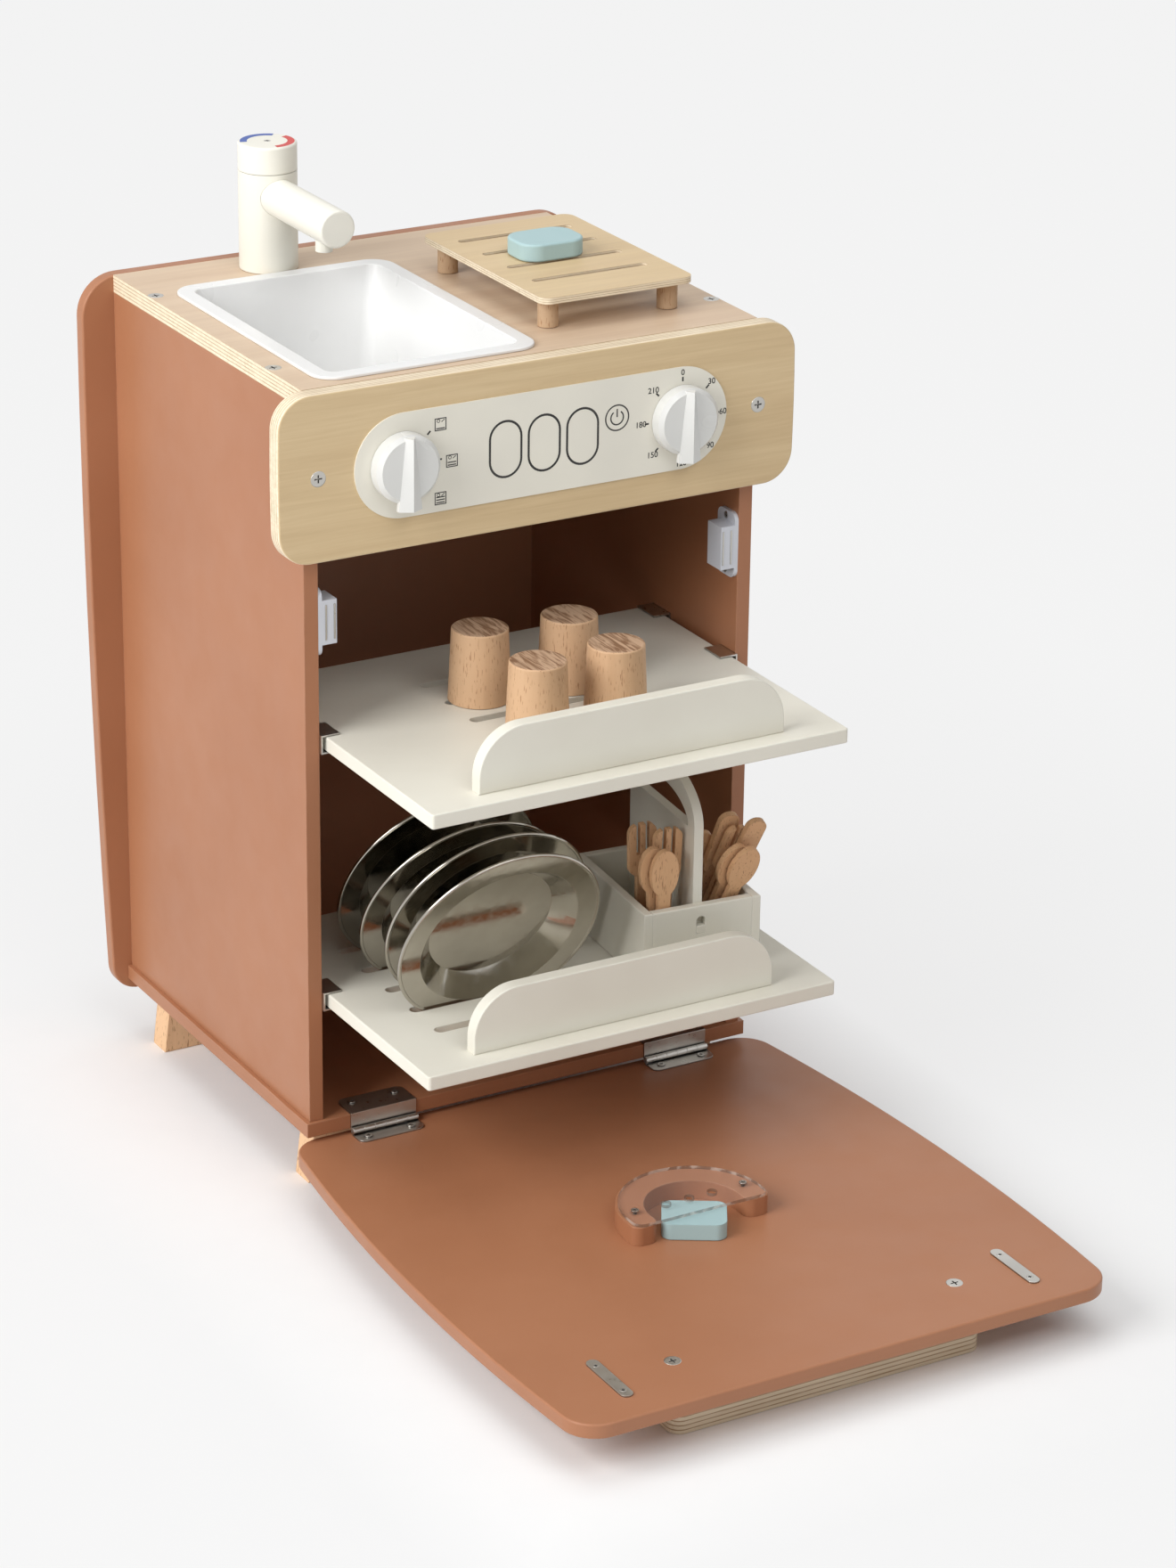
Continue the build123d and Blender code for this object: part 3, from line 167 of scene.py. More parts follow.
# Node helpers
class Recipe:
    """A material and the nodes that make it."""

    def __init__(self, name):
        self.material = bpy.data.materials.new(name)
        self.material.use_nodes = True
        self.tree = self.material.node_tree
        self.shader = self.tree.nodes["Principled BSDF"]
        self.coordinates = self.tree.nodes.new("ShaderNodeTexCoord").outputs["Object"]

    def link(self, output, socket):
        """Join an output to an input."""
        self.tree.links.new(output, socket)

    def stretched(self, scale):
        """Object coordinates scaled along each axis."""
        mapping = self.tree.nodes.new("ShaderNodeMapping")
        mapping.inputs["Scale"].default_value = scale
        self.link(self.coordinates, mapping.inputs["Vector"])
        return mapping.outputs["Vector"]

    def noise(self, scale, detail=3.0, roughness=0.5, distortion=0.0):
        """Noise whose scale may differ along each axis."""
        texture = self.tree.nodes.new("ShaderNodeTexNoise")
        texture.inputs["Scale"].default_value = 1.0
        texture.inputs["Detail"].default_value = detail
        texture.inputs["Roughness"].default_value = roughness
        texture.inputs["Distortion"].default_value = distortion
        self.link(self.stretched(scale), texture.inputs["Vector"])
        return texture.outputs["Fac"]

    def ramp(self, value, stops):
        """Colour ramp through (place, colour) stops."""
        ramp = self.tree.nodes.new("ShaderNodeValToRGB")
        elements = ramp.color_ramp.elements
        while len(elements) < len(stops):
            elements.new(0.5)
        for element, (place, colour) in zip(elements, stops):
            element.position = place
            element.color = colour
        self.link(value, ramp.inputs["Fac"])
        return ramp.outputs["Color"]

    def span(self, value, low, high, out_low, out_high):
        """Map a value from one range to another."""
        mapping = self.tree.nodes.new("ShaderNodeMapRange")
        mapping.inputs["From Min"].default_value = low
        mapping.inputs["From Max"].default_value = high
        mapping.inputs["To Min"].default_value = out_low
        mapping.inputs["To Max"].default_value = out_high
        self.link(value, mapping.inputs["Value"])
        return mapping.outputs["Result"]

    def math(self, operation, first, second=None):
        """One mathematical operation on outputs or numbers."""
        node = self.tree.nodes.new("ShaderNodeMath")
        node.operation = operation
        for index, item in enumerate((first, second)):
            if item is None:
                continue
            if isinstance(item, (int, float)):
                node.inputs[index].default_value = item
            else:
                self.link(item, node.inputs[index])
        return node.outputs["Value"]

    def mix(self, factor, first, second):
        """Mix two colours by a factor."""
        node = self.tree.nodes.new("ShaderNodeMix")
        node.data_type = "RGBA"
        self.link(factor, node.inputs["Factor"])
        for socket, item in ((node.inputs["A"], first), (node.inputs["B"], second)):
            if isinstance(item, tuple):
                socket.default_value = item
            else:
                self.link(item, socket)
        return node.outputs["Result"]

    def axis(self, output, name):
        """One component of a vector."""
        node = self.tree.nodes.new("ShaderNodeSeparateXYZ")
        self.link(output, node.inputs["Vector"])
        return node.outputs[name]

    def bump(self, height, strength, distance, soften=None):
        """Bump the shader's normal, over edges softened to a radius if one is given."""
        node = self.tree.nodes.new("ShaderNodeBump")
        node.inputs["Strength"].default_value = strength
        node.inputs["Distance"].default_value = distance
        self.link(height, node.inputs["Height"])
        if soften:
            bevel = self.tree.nodes.new("ShaderNodeBevel")
            bevel.samples = BEVEL_SAMPLES
            bevel.inputs["Radius"].default_value = soften
            self.link(bevel.outputs["Normal"], node.inputs["Normal"])
        self.link(node.outputs["Normal"], self.shader.inputs["Normal"])

    def facing(self, axis_name):
        """How far the surface faces along one of the piece's own axes, from 0 to 1."""
        geometry = self.tree.nodes.new("ShaderNodeNewGeometry")
        turned = self.tree.nodes.new("ShaderNodeVectorTransform")
        turned.vector_type = "NORMAL"
        turned.convert_from = "WORLD"
        turned.convert_to = "OBJECT"
        self.link(geometry.outputs["True Normal"], turned.inputs["Vector"])
        return self.math("ABSOLUTE", self.axis(turned.outputs["Vector"], axis_name))

    def open_share(self, reach):
        """How open the surface is to its surroundings, from 0 in a recess to 1."""
        shade = self.tree.nodes.new("ShaderNodeAmbientOcclusion")
        shade.samples = RECESS_SAMPLES
        shade.inputs["Distance"].default_value = reach
        return shade.outputs["AO"]

    def edges(self, reach):
        """How sharply the surface turns within a reach, from 0 on a flat."""
        bevel = self.tree.nodes.new("ShaderNodeBevel")
        bevel.samples = BEVEL_SAMPLES
        bevel.inputs["Radius"].default_value = reach
        geometry = self.tree.nodes.new("ShaderNodeNewGeometry")
        dot = self.tree.nodes.new("ShaderNodeVectorMath")
        dot.operation = "DOT_PRODUCT"
        self.link(bevel.outputs["Normal"], dot.inputs[0])
        self.link(geometry.outputs["Normal"], dot.inputs[1])
        return self.span(dot.outputs["Value"], 0.995, 0.86, 0.0, 1.0)

    def finish(self, colour, roughness):
        """Set colour and roughness from outputs or constants."""
        for item, name in ((colour, "Base Color"), (roughness, "Roughness")):
            socket = self.shader.inputs[name]
            if isinstance(item, (tuple, float)):
                socket.default_value = item
            else:
                self.link(item, socket)
        return self.material


# Materials
def painted(name, light, deep, roughness=0.42, tooth=0.08, edge=None):
    """Satin paint on smooth board, with a faint roller texture, and edges lightened partly as
    rubbed wear and partly as a painted highlight.
    """
    recipe = Recipe(name)
    cloud = recipe.noise(PAINT_CLOUD, 4.0)
    colour = recipe.ramp(cloud, [(0.3, deep), (0.7, light)])
    tooth_noise = recipe.noise(PAINT_TOOTH, 2.0)
    recipe.bump(tooth_noise, tooth, TOOTH_HEIGHT, PAINT_ROUNDING)
    # Edge lightening: partly rubbed wear in patches, partly a painted highlight along the edges
    if edge:
        patches = recipe.span(recipe.noise(WEAR_AND_HIGHLIGHT_PATCHES, 3.0), 0.4, 0.65, 0.15, 0.8)
        wear_and_highlight = recipe.math("MULTIPLY", recipe.edges(WEAR_AND_HIGHLIGHT_REACH), patches)
        colour = recipe.mix(wear_and_highlight, colour, edge)
    sheen = recipe.noise(PAINT_GLOSS, 3.0)
    gloss = recipe.span(sheen, 0.3, 0.7, roughness - 0.05, roughness + 0.06)
    recipe.shader.inputs["Specular IOR Level"].default_value = 0.4
    return recipe.finish(colour, gloss)


def wood_grain(recipe, along, fine, tones):
    """Long straight grain with a few wider bands."""
    stretch = [fine] * 3
    stretch["XYZ".index(along)] = fine / GRAIN_STRETCH
    streaks = recipe.noise(tuple(stretch), 6.0, 0.62, 0.6)
    broad = [fine / BAND_WIDTH] * 3
    broad["XYZ".index(along)] = fine / BAND_STRETCH
    bands = recipe.noise(tuple(broad), 3.0, 0.5, 1.4)
    fine_part = recipe.math("MULTIPLY", streaks, 0.5)
    blend = recipe.math("ADD", fine_part, recipe.math("MULTIPLY", bands, 0.5))
    dark, middle, light = tones
    return recipe.ramp(blend, [(0.24, dark), (0.5, middle), (0.76, light)]), streaks


def plywood(name, thick, along, low, ply, tones):
    """Veneered board whose plies show on its edges."""
    recipe = Recipe(name)
    face_colour, streaks = wood_grain(recipe, along, PLY_GRAIN, tones)
    place = recipe.axis(recipe.coordinates, thick)
    turns = recipe.math("DIVIDE", recipe.math("SUBTRACT", place, low), ply)
    line = recipe.math("PINGPONG", turns, 0.5)
    wobble = recipe.span(recipe.noise(PLY_WOBBLE, 2.0), 0.2, 0.8, -0.06, 0.06)
    plies = recipe.ramp(
        recipe.math("ADD", line, wobble), [(0.06, PLY_LINE), (0.16, PLY_PALE), (0.5, PLY_PALE)]
    )
    speckle = recipe.mix(recipe.span(streaks, 0.35, 0.65, 0.0, 0.35), plies, PLY_LINE)
    is_face = recipe.span(recipe.facing(thick), 0.6, 0.8, 0.0, 1.0)
    colour = recipe.mix(is_face, speckle, face_colour)
    recipe.bump(streaks, 0.12, GRAIN_HEIGHT)
    recipe.shader.inputs["Specular IOR Level"].default_value = 0.35
    return recipe.finish(colour, recipe.span(streaks, 0.3, 0.7, 0.38, 0.52))


def beech(name, along, tint=(1.0, 1.0, 1.0), end_tones=None):
    """Bare beech with short dark flecks, and rings on its end grain if tones are given."""
    recipe = Recipe(name)
    tones = [
        tuple(channel * share for channel, share in zip(tone[:3], tint)) + (1.0,)
        for tone in (BEECH_MID, BEECH_LIGHT, BEECH_LIGHT)
    ]
    base, streaks = wood_grain(recipe, along, BEECH_GRAIN, tones)
    fleck_scale = [FLECK_ACROSS] * 3
    fleck_scale["XYZ".index(along)] = FLECK_ALONG
    flecks = recipe.noise(tuple(fleck_scale), 1.5, 0.4)
    mask = recipe.span(flecks, 0.62, 0.70, 0.0, 0.75)
    colour = recipe.mix(mask, base, BEECH_DARK)
    if end_tones:
        rings = recipe.noise(END_RINGS, 3.0, 0.55, 1.2)
        end_colour = recipe.ramp(rings, [(0.42, end_tones[0]), (0.56, end_tones[1])])
        is_end = recipe.span(recipe.facing(along), 0.75, 0.95, 0.0, 1.0)
        colour = recipe.mix(is_end, colour, end_colour)
    recipe.bump(streaks, 0.15, GRAIN_HEIGHT, BEECH_ROUNDING)
    recipe.shader.inputs["Specular IOR Level"].default_value = 0.3
    return recipe.finish(colour, recipe.span(streaks, 0.3, 0.7, 0.5, 0.65))


def plastic(name, light, deep, roughness):
    """Smooth moulded surface with a faint waviness."""
    recipe = Recipe(name)
    colour = recipe.ramp(recipe.noise(PLASTIC_CLOUD, 3.0), [(0.35, deep), (0.65, light)])
    recipe.bump(recipe.noise(PLASTIC_WAVES, 2.0), 0.03, WAVE_HEIGHT)
    sheen = recipe.noise(PLASTIC_GLOSS, 2.0)
    gloss = recipe.span(sheen, 0.3, 0.7, roughness - 0.03, roughness + 0.04)
    return recipe.finish(colour, gloss)


def metal(name, tone, roughness, brush, recess=None):
    """Bright metal with fine scratches, darkened in its recesses by painted shade where a reach is
    given.
    """
    recipe = Recipe(name)
    dark = tuple(channel * 0.86 for channel in tone[:3]) + (1.0,)
    colour = recipe.ramp(recipe.noise(METAL_CLOUD, 3.0), [(0.35, dark), (0.65, tone)])
    scratches = recipe.noise(brush, 3.0)
    recipe.bump(scratches, 0.012, SCRATCH_HEIGHT, METAL_ROUNDING)
    # Painted shade: the colour darkens towards a dark tone where ambient occlusion finds a recess
    if recess:
        painted_shade = recipe.span(recipe.open_share(recess), 0.45, 0.95, 0.85, 0.0)
        colour = recipe.mix(painted_shade, colour, RECESS_PAINTED_SHADE)
    recipe.shader.inputs["Metallic"].default_value = 1.0
    gloss = recipe.span(scratches, 0.3, 0.7, roughness - 0.05, roughness + 0.07)
    return recipe.finish(colour, gloss)


def clear_sheet(name):
    """Clear polished acrylic whose sawn edge has painted glints and painted dark reflections in
    its colour.
    """
    recipe = Recipe(name)
    smear = recipe.noise(SHEET_SMEAR, 1.0)
    clear = recipe.ramp(smear, [(0.4, SHEET_TONES[0]), (0.6, SHEET_TONES[1])])
    # Painted glints and painted dark reflections in dashes along the sawn edge
    glints = recipe.noise(SAWN_GLINTS, 1.0)
    painted_glints = recipe.ramp(glints, [(0.45, SAWN_PAINTED_DARK_REFLECTION), (0.62, SAWN_PAINTED_GLINT)])
    is_sheet = recipe.span(recipe.facing("Z"), 0.3, 0.9, 0.0, 1.0)
    colour = recipe.mix(is_sheet, painted_glints, clear)
    recipe.link(recipe.span(is_sheet, 0.0, 1.0, 0.55, 0.03), recipe.shader.inputs["Alpha"])
    return recipe.finish(colour, recipe.span(smear, 0.3, 0.7, 0.03, 0.08))


terracotta = painted(
    "terracotta_paint", TERRACOTTA, TERRACOTTA_DEEP, 0.4, 0.08, TERRACOTTA_WEAR_AND_HIGHLIGHT
)
cream = painted("cream_paint", CREAM, CREAM_SHADE, 0.45, 0.06, CREAM_WEAR_AND_HIGHLIGHT)
tap_cream = painted("tap_paint", paint(238, 235, 224), paint(232, 229, 217), 0.4, 0.04)
blue = painted("blue_paint", BLUE, BLUE_DEEP, 0.5, 0.1)
label = plastic("label_film", LABEL, paint(224, 220, 208), 0.5)
white = plastic("white_plastic", WHITE, paint(214, 214, 211), 0.25)
basin = plastic("basin_white", paint(232, 232, 231), paint(228, 228, 227), 0.3)
nickel = metal("bright_zinc", NICKEL, 0.32, ZINC_SCRATCHES, RECESS_REACH)
stainless = metal("stainless_steel", STEEL, 0.1, STEEL_SCRATCHES)
catch_white = plastic("catch_plastic", paint(208, 211, 219), paint(202, 205, 213), 0.3)
acrylic = clear_sheet("clear_acrylic")
ink = plastic("black_ink", INK, paint(52, 50, 47), 0.5)
hot_ink = plastic("red_ink", HOT, paint(192, 64, 60), 0.5)
cold_ink = plastic("blue_ink", COLD, paint(64, 90, 160), 0.5)
fascia_wood = plywood("fascia_plywood", "Y", "X", FASCIA_LOW_Y, BOARD_PLY, BIRCH_TONES)
worktop_wood = plywood("worktop_plywood", "Z", "X", WORKTOP_LOW_Z, BOARD_PLY, WORKTOP_TONES)
handle_wood = plywood("handle_plywood", "Z", "X", 0.0, HANDLE_PLY, BIRCH_TONES)
rack_wood = plywood("rack_plywood", "Z", "X", RACK_LOW_Z, RACK_PLY, BIRCH_TONES)
beech_upright = beech("beech_upright", "Z", (0.8, 0.88, 0.98))
foot_wood = beech("foot_wood", "Z", (1.2, 1.25, 1.3))
cup_wood = beech("cup_wood", "Z", (0.95, 0.98, 1.04), CUP_END_TONES)
cutlery_wood = beech("cutlery_wood", "Z", (1.0, 0.95, 0.92))


def dress(material, *names):
    """Give CAD nodes a material."""
    for name in names:
        mesh = nodes[name].data
        mesh.materials.clear()
        mesh.materials.append(material)


dress(terracotta, "left_side_panel", "right_side_panel", "bottom_panel", "back_panel")
dress(terracotta, "door_panel", "dispenser_block")
dress(worktop_wood, "worktop")
dress(fascia_wood, "front_fascia")
dress(handle_wood, "door_handle")
dress(rack_wood, "rack_top")
dress(cream, "upper_shelf", "upper_rail", "lower_shelf", "lower_rail")
dress(cream, "caddy_base", "caddy_sides", "caddy_ends", "caddy_divider")
dress(tap_cream, "tap_column", "tap_spout", "tap_nozzle", "tap_handle")
dress(label, "control_label")
dress(foot_wood, "feet")
dress(beech_upright, "rack_legs", "tap_pivot")
dress(cup_wood, "cup_1", "cup_2", "cup_3", "cup_4")
dress(cutlery_wood, "left_spoons", "left_forks", "right_spoons", "right_fork", "right_knives")
dress(nickel, "panel_screws", "small_screws", "hinge_pins")
dress(nickel, "hinge_fixed_leaves", "hinge_moving_leaves")
dress(nickel, "shelf_guides", "catch_poles", "strike_plates", "door_screws", "handle_screws")
dress(nickel, "dispenser_screws", "tap_handle_screw", "caddy_screws")
dress(white, "left_knob", "right_knob")
dress(catch_white, "magnet_catches")
dress(basin, "sink_basin")
dress(blue, "detergent_tablet", "soap_block")
dress(acrylic, "dispenser_cover")

# The clear cover is drawn in by a hair, so that its underside doesn't share a plane with the block
COVER_RELIEF = -0.04 * MM
relief = nodes["dispenser_cover"].modifiers.new("relief", "DISPLACE")
relief.mid_level = 0.0
relief.strength = COVER_RELIEF
dress(stainless, "plate_1", "plate_2", "plate_3", "plate_4")


# Printing on the control label
class Print:
    """Flat ink shapes on a plane, in millimetres along its two directions."""

    def __init__(self, origin, across, up):
        self.mesh = bmesh.new()
        self.origin = Vector(origin)
        self.across = Vector(across)
        self.up = Vector(up)

    def point(self, x, y):
        """Vertex at a place on the print's plane."""
        return self.mesh.verts.new(self.origin + self.across * x * MM + self.up * y * MM)

    def quad(self, corners):
        """One flat patch."""
        self.mesh.faces.new([self.point(x, y) for x, y in corners])

    def bar(self, start, end, width):
        """Straight line of ink."""
        along = Vector(end) - Vector(start)
        side = Vector((-along.y, along.x)).normalized() * width / 2
        first, last = Vector(start), Vector(end)
        self.quad([first - side, last - side, last + side, first + side])

    def band(self, outer, inner, closed=True):
        """Ring of ink between two point lists."""
        count = len(outer)
        outside = [self.point(x, y) for x, y in outer]
        inside = [self.point(x, y) for x, y in inner]
        for index in range(count if closed else count - 1):
            following = (index + 1) % count
            self.mesh.faces.new(
                [outside[index], outside[following], inside[following], inside[index]]
            )

    def arc(self, middle, radius, width, start=0.0, end=360.0, steps=48):
        """Arc of ink; angles are counted anticlockwise from the right."""
        closed = abs(end - start) >= 360.0
        count = steps if closed else steps + 1
        rings = []
        for reach in (radius + width / 2, radius - width / 2):
            ring = []
            for index in range(count):
                angle = math.radians(start + (end - start) * index / steps)
                x = middle[0] + reach * math.cos(angle)
                ring.append((x, middle[1] + reach * math.sin(angle)))
            rings.append(ring)
        self.band(rings[0], rings[1], closed)

    def stadium(self, middle, width, height, line, steps=16):
        """Upright stadium outline."""
        rings = []
        for inset in (0.0, line):
            radius = width / 2 - inset
            rise = height / 2 - width / 2
            ring = []
            for end, first in ((1, 0), (-1, 180)):
                for index in range(steps + 1):
                    angle = math.radians(first + 180 * index / steps)
                    x = middle[0] + radius * math.cos(angle)
                    ring.append((x, middle[1] + end * rise + radius * math.sin(angle)))
            rings.append(ring)
        self.band(rings[0], rings[1])

    def frame(self, middle, width, height, line):
        """Rectangle outline."""
        x, y = middle
        corners = [(-1, -1), (1, -1), (1, 1), (-1, 1)]
        rings = []
        for inset in (0.0, line):
            half_width, half_height = width / 2 - inset, height / 2 - inset
            rings.append([(x + sx * half_width, y + sy * half_height) for sx, sy in corners])
        self.band(rings[0], rings[1])

    def finish(self, name, material, body, slot):
        """Make the object and let it ride."""
        data = bpy.data.meshes.new(name)
        bmesh.ops.recalc_face_normals(self.mesh, faces=self.mesh.faces)
        self.mesh.to_mesh(data)
        self.mesh.free()
        data.materials.append(material)
        piece = bpy.data.objects.new(name, data)
        bpy.context.scene.collection.objects.link(piece)
        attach(piece, body)
        return piece


LABEL_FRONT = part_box("control_label")[0].y
DIAL_Z = 459.0
KNOB_X = 92.5
INK_LIFT = 0.04 * MM
label_print = Print((0, LABEL_FRONT - INK_LIFT, 0), (1, 0, 0), (0, 0, 1))
DIGIT_WIDTH = 22.0
DIGIT_HEIGHT = 35.2
DIGIT_PITCH = 25.45
DIGIT_LINE = 1.4
DIGITS = (-0.1, 458.4)
for step in (-1, 0, 1):
    digit = (DIGITS[0] + step * DIGIT_PITCH, DIGITS[1])
    label_print.stadium(digit, DIGIT_WIDTH, DIGIT_HEIGHT, DIGIT_LINE)

POWER = (48.4, 466.0)
POWER_LINE = 0.9
POWER_RING = 7.7
POWER_ARC = 4.2
POWER_BAR_LOW = 0.4
POWER_BAR_HIGH = 5.4
label_print.arc(POWER, POWER_RING, POWER_LINE)
label_print.arc(POWER, POWER_ARC, POWER_LINE, 125.0, 415.0)
label_print.bar(
    (POWER[0], POWER[1] + POWER_BAR_LOW), (POWER[0], POWER[1] + POWER_BAR_HIGH), POWER_LINE
)

TICK_INNER = 22.6
TICK_OUTER = 25.4
TICK_WIDTH = 1.1


def tick(knob_x, clock):
    """Radial tick at a clockwise angle from the top."""
    angle = math.radians(clock)
    middle = Vector((knob_x, DIAL_Z))
    way = Vector((math.sin(angle), math.cos(angle)))
    label_print.bar(middle + way * TICK_INNER, middle + way * TICK_OUTER, TICK_WIDTH)


STEP_ANGLE = 45
RIGHT_STEPS = 8
LEFT_STEPS = 3
STEP_VALUE = 30
for step in range(RIGHT_STEPS):
    tick(KNOB_X, STEP_ANGLE * step)
for step in range(LEFT_STEPS):
    tick(-KNOB_X, STEP_ANGLE * (step + 1))

ICON = 7.6
ICON_LINE = 0.6
ICON_PLACES = [(-68.0, 480.0), (-60.6, 457.0), (-68.0, 435.4)]
LOAD_REACH = 2.8
LOAD_LOW = 2.4
LOAD_PITCH = 1.6
LOAD_LINE = 0.7
DROP = (-1.3, 2.1)
DROP_RADIUS = 0.9
DROP_LINE = 0.4
DROP_STEPS = 20
RAY_LOW = (0.6, 1.4)
RAY_HIGH = (2.6, 2.8)
RAY_LINE = 0.5
for number, place in enumerate(ICON_PLACES):
    icon = Vector(place)
    label_print.frame(place, ICON, ICON, ICON_LINE)
    for level in range(number + 1):
        rise = LOAD_PITCH * level - LOAD_LOW
        ends = [icon + Vector((side * LOAD_REACH, rise)) for side in (-1, 1)]
        label_print.bar(ends[0], ends[1], LOAD_LINE)
    label_print.arc(icon + Vector(DROP), DROP_RADIUS, DROP_LINE, steps=DROP_STEPS)
    label_print.bar(icon + Vector(RAY_LOW), icon + Vector(RAY_HIGH), RAY_LINE)
label_print.finish("label_print", ink, "cabinet", "label_film")

NUMBER_REACH = 28.0
NUMBER_SIZE = 5.0
NUMBER_THICKNESS = 0.02
NUMBER_WEIGHT = 0.07


def dial_number(text, clock):
    """Upright number beside the right knob."""
    angle = math.radians(clock)
    data = bpy.data.curves.new(f"dial_{text}", "FONT")
    data.body = text
    data.size = NUMBER_SIZE * MM
    data.align_x = "CENTER"
    data.align_y = "CENTER"
    data.extrude = NUMBER_THICKNESS * MM
    data.offset = NUMBER_WEIGHT * MM
    text_object = bpy.data.objects.new(f"dial_curve_{text}", data)
    bpy.context.scene.collection.objects.link(text_object)
    bpy.context.view_layer.update()
    mesh = bpy.data.meshes.new_from_object(text_object)
    bpy.data.objects.remove(text_object)
    place = Vector(
        (
            (KNOB_X + math.sin(angle) * NUMBER_REACH) * MM,
            LABEL_FRONT - INK_LIFT,
            (DIAL_Z + math.cos(angle) * NUMBER_REACH) * MM,
        )
    )
    mesh.transform(Matrix.Translation(place) @ Matrix.Rotation(math.radians(90), 4, "X"))
    mesh.materials.clear()
    mesh.materials.append(ink)
    piece = bpy.data.objects.new(f"dial_number_{text}", mesh)
    bpy.context.scene.collection.objects.link(piece)
    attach(piece, "cabinet")


for step in range(RIGHT_STEPS):
    dial_number(str(STEP_VALUE * step), STEP_ANGLE * step)

# Hot and cold arcs on the tap handle
tap_low, tap_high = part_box("tap_handle")
tap_middle = (tap_low + tap_high) / 2
TAP_RADIUS = (tap_high.x - tap_low.x) / 2 / MM
ARC_REACH = 0.8 * TAP_RADIUS
ARC_WIDTH = 0.24 * TAP_RADIUS
ARC_SWEEP = 115.0
COLD_START = 50.0
HOT_START = -95.0
for name, material, start in (
    ("cold_arc", cold_ink, COLD_START),
    ("hot_arc", hot_ink, HOT_START),
):
    arc_print = Print((tap_middle.x, tap_middle.y, tap_high.z + INK_LIFT), (1, 0, 0), (0, 1, 0))
    arc_print.arc((0, 0), ARC_REACH, ARC_WIDTH, start, start + ARC_SWEEP)
    arc_print.finish(name, material, "tap_lever", "cream_paint")


# Floor, light and camera
FLOOR_PALE_SHARE = 0.8
FLOOR_FAR_SHARE = 0.18
FLOOR_UNDER = -0.03
FLOOR_NEAR = 0.1
FLOOR_FAR = 0.6
FLOOR_HALF = 12.0
AMBIENT = 0.34


def seen_directly(tree):
    """1 for rays from the camera, in reflections and through clear pieces, else 0."""
    path = tree.nodes.new("ShaderNodeLightPath")
    either = tree.nodes.new("ShaderNodeMath")
    either.operation = "MAXIMUM"
    tree.links.new(path.outputs["Is Camera Ray"], either.inputs[0])
    tree.links.new(path.outputs["Is Glossy Ray"], either.inputs[1])
    any_of_three = tree.nodes.new("ShaderNodeMath")
    any_of_three.operation = "MAXIMUM"
    tree.links.new(either.outputs["Value"], any_of_three.inputs[0])
    tree.links.new(path.outputs["Is Transmission Ray"], any_of_three.inputs[1])
    return any_of_three.outputs["Value"]


def floor():
    """Plain pale floor that keeps the object's shadow and is palest away from it."""
    recipe = Recipe("floor_paper")
    grain = recipe.noise(FLOOR_GRAIN, 2.0)
    colour = recipe.ramp(grain, [(0.4, FLOOR_TONES[0]), (0.6, FLOOR_TONES[1])])
    material = recipe.finish(colour, 0.9)
    recipe.shader.inputs["Specular IOR Level"].default_value = 0.0
    pale = recipe.tree.nodes.new("ShaderNodeEmission")
    pale.inputs["Color"].default_value = BACKDROP
    pale.inputs["Strength"].default_value = 1.0
    middle_y = (cad_low.y + cad_high.y) / 2
    across = recipe.math("ABSOLUTE", recipe.axis(recipe.coordinates, "X"))
    along = recipe.math("SUBTRACT", recipe.axis(recipe.coordinates, "Y"), middle_y)
    beside = recipe.math("SUBTRACT", across, cad_high.x)
    beyond = recipe.math("SUBTRACT", recipe.math("ABSOLUTE", along), cad_high.y - middle_y)
    outside = recipe.math("MAXIMUM", beside, beyond)
    near_share = recipe.span(outside, FLOOR_UNDER, FLOOR_NEAR, 0.0, FLOOR_PALE_SHARE)
    far_share = recipe.span(outside, FLOOR_NEAR, FLOOR_FAR, 0.0, FLOOR_FAR_SHARE)
    pale_share = recipe.math("ADD", near_share, far_share)
    share = recipe.math("MULTIPLY", seen_directly(recipe.tree), pale_share)
    blend = recipe.tree.nodes.new("ShaderNodeMixShader")
    recipe.link(share, blend.inputs["Fac"])
    recipe.link(recipe.shader.outputs["BSDF"], blend.inputs[1])
    recipe.link(pale.outputs["Emission"], blend.inputs[2])
    recipe.link(blend.outputs["Shader"], recipe.tree.nodes["Material Output"].inputs["Surface"])
    mesh = bmesh.new()
    bmesh.ops.create_grid(mesh, x_segments=2, y_segments=2, size=FLOOR_HALF)
    data = bpy.data.meshes.new("floor")
    mesh.to_mesh(data)
    mesh.free()
    data.materials.append(material)
    sheet = bpy.data.objects.new("floor", data)
    bpy.context.scene.collection.objects.link(sheet)


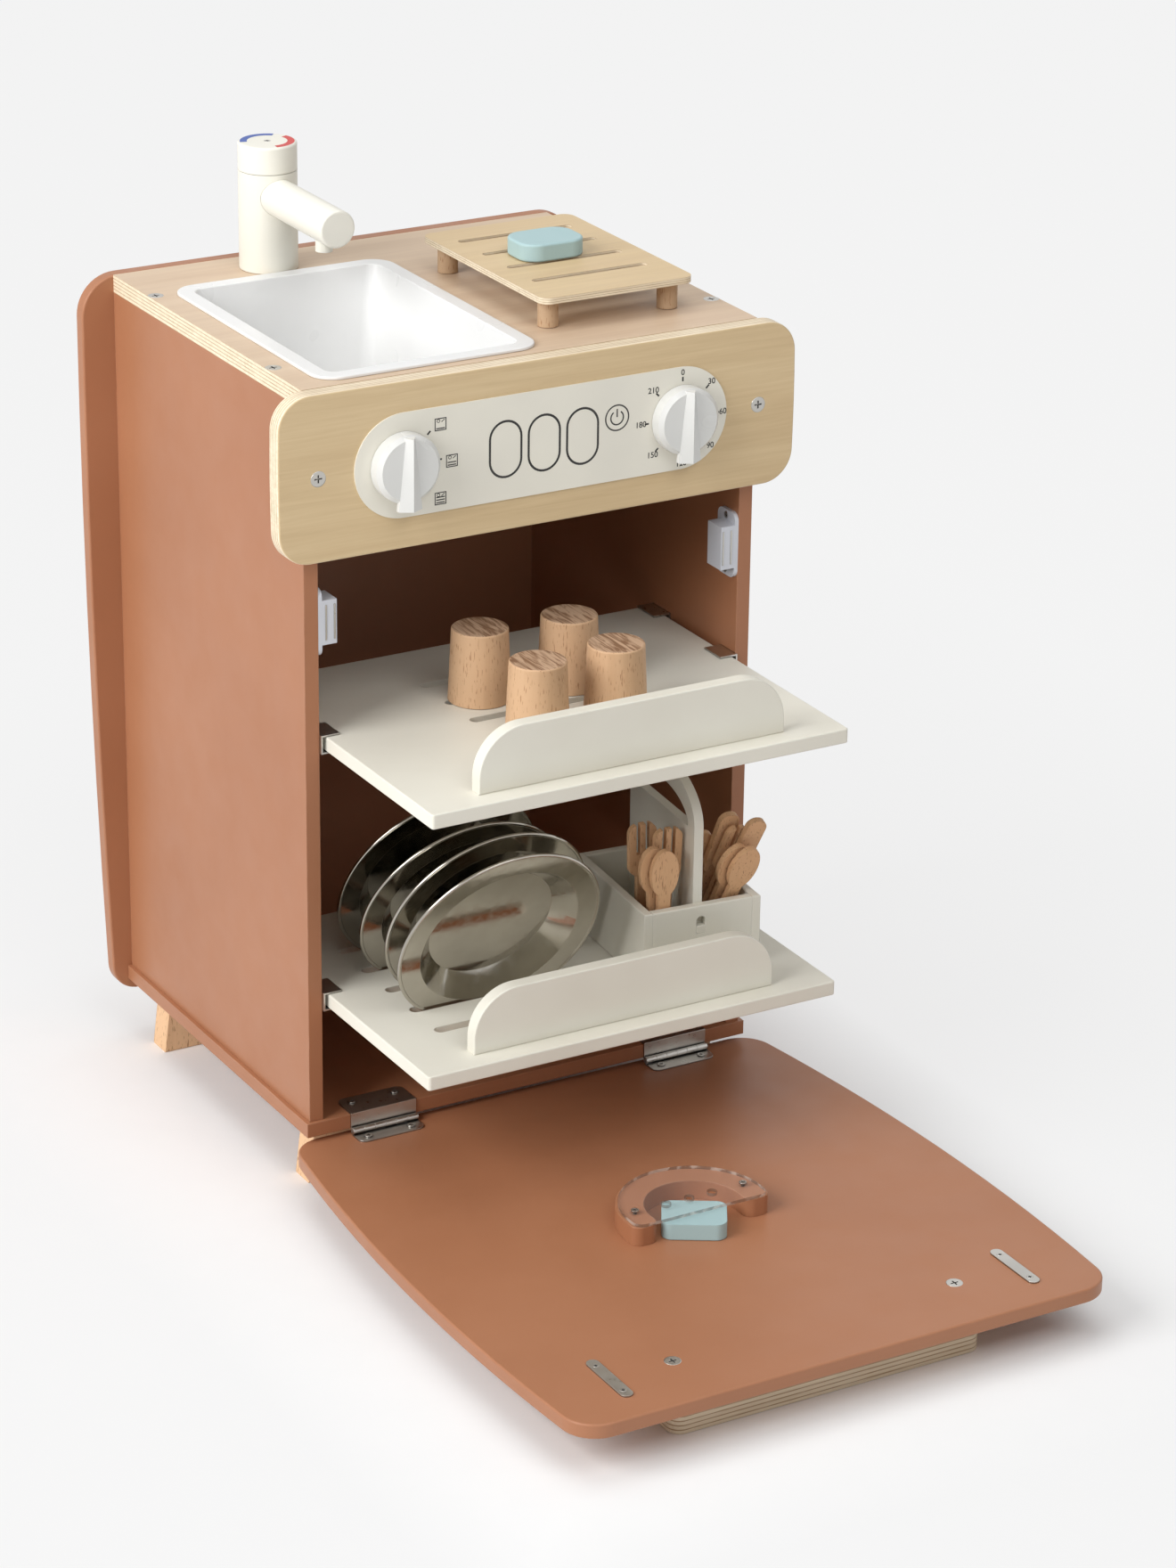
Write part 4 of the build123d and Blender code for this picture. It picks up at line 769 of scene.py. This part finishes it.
def world():
    """Even pale surroundings."""
    scene_world = bpy.data.worlds.new("studio")
    bpy.context.scene.world = scene_world
    scene_world.use_nodes = True
    background = scene_world.node_tree.nodes["Background"]
    background.inputs["Color"].default_value = BACKDROP
    brightness = scene_world.node_tree.nodes.new("ShaderNodeMapRange")
    brightness.inputs["To Min"].default_value = AMBIENT
    brightness.inputs["To Max"].default_value = 1.0
    tree = scene_world.node_tree
    tree.links.new(seen_directly(tree), brightness.inputs["Value"])
    tree.links.new(brightness.outputs["Result"], background.inputs["Strength"])


def lamp(name, place, target, size, power):
    """Large soft lamp aimed at a point."""
    data = bpy.data.lights.new(name, "AREA")
    data.shape = "RECTANGLE"
    data.size, data.size_y = size
    data.energy = power
    light = bpy.data.objects.new(name, data)
    light.location = Vector(place) + Vector((0, CASE_Y, 0))
    aim = Vector(target) - Vector(place)
    light.rotation_euler = aim.to_track_quat("-Z", "Y").to_euler()
    bpy.context.scene.collection.objects.link(light)


CAMERA_PLACE = Vector((-1.2763, -2.4026, 1.3344))
CAMERA_TURN = 30.03
CAMERA_DIP = 22.748
CAMERA_ROLL = 0.778
CAMERA_LENS = 108.7
CAMERA_SENSOR = 36.0
CAMERA_FAR = 50.0


def camera():
    """Camera at the photograph's place."""
    turn, dip, roll = (math.radians(angle) for angle in (CAMERA_TURN, CAMERA_DIP, CAMERA_ROLL))
    level = Vector((math.sin(turn), math.cos(turn), 0))
    forward = level * math.cos(dip) - Vector((0, 0, math.sin(dip)))
    right = Vector((math.cos(turn), -math.sin(turn), 0))
    up = right.cross(forward)
    right_rolled = right * math.cos(roll) + up * math.sin(roll)
    up_rolled = up * math.cos(roll) - right * math.sin(roll)
    data = bpy.data.cameras.new("camera")
    data.sensor_width = CAMERA_SENSOR
    data.lens = CAMERA_LENS
    data.clip_end = CAMERA_FAR
    eye = bpy.data.objects.new("camera", data)
    axes = Matrix((right_rolled, up_rolled, -forward)).transposed()
    place = CAMERA_PLACE + Vector((0, CASE_Y, 0))
    eye.matrix_world = Matrix.Translation(place) @ axes.to_4x4()
    bpy.context.scene.collection.objects.link(eye)
    bpy.context.scene.camera = eye


floor()
world()
lamp("left", (-2.7, -0.55, 1.9), (0, -0.1, 0.3), (2.0, 1.8), 88.0)
lamp("front", (0.0, -2.4, 2.8), (0, -0.2, 0.3), (2.2, 1.6), 27.0)
lamp("top", (-0.3, 0.1, 3.0), (0, -0.1, 0.3), (2.0, 2.0), 20.0)
camera()
bpy.context.scene.view_settings.view_transform = "Standard"
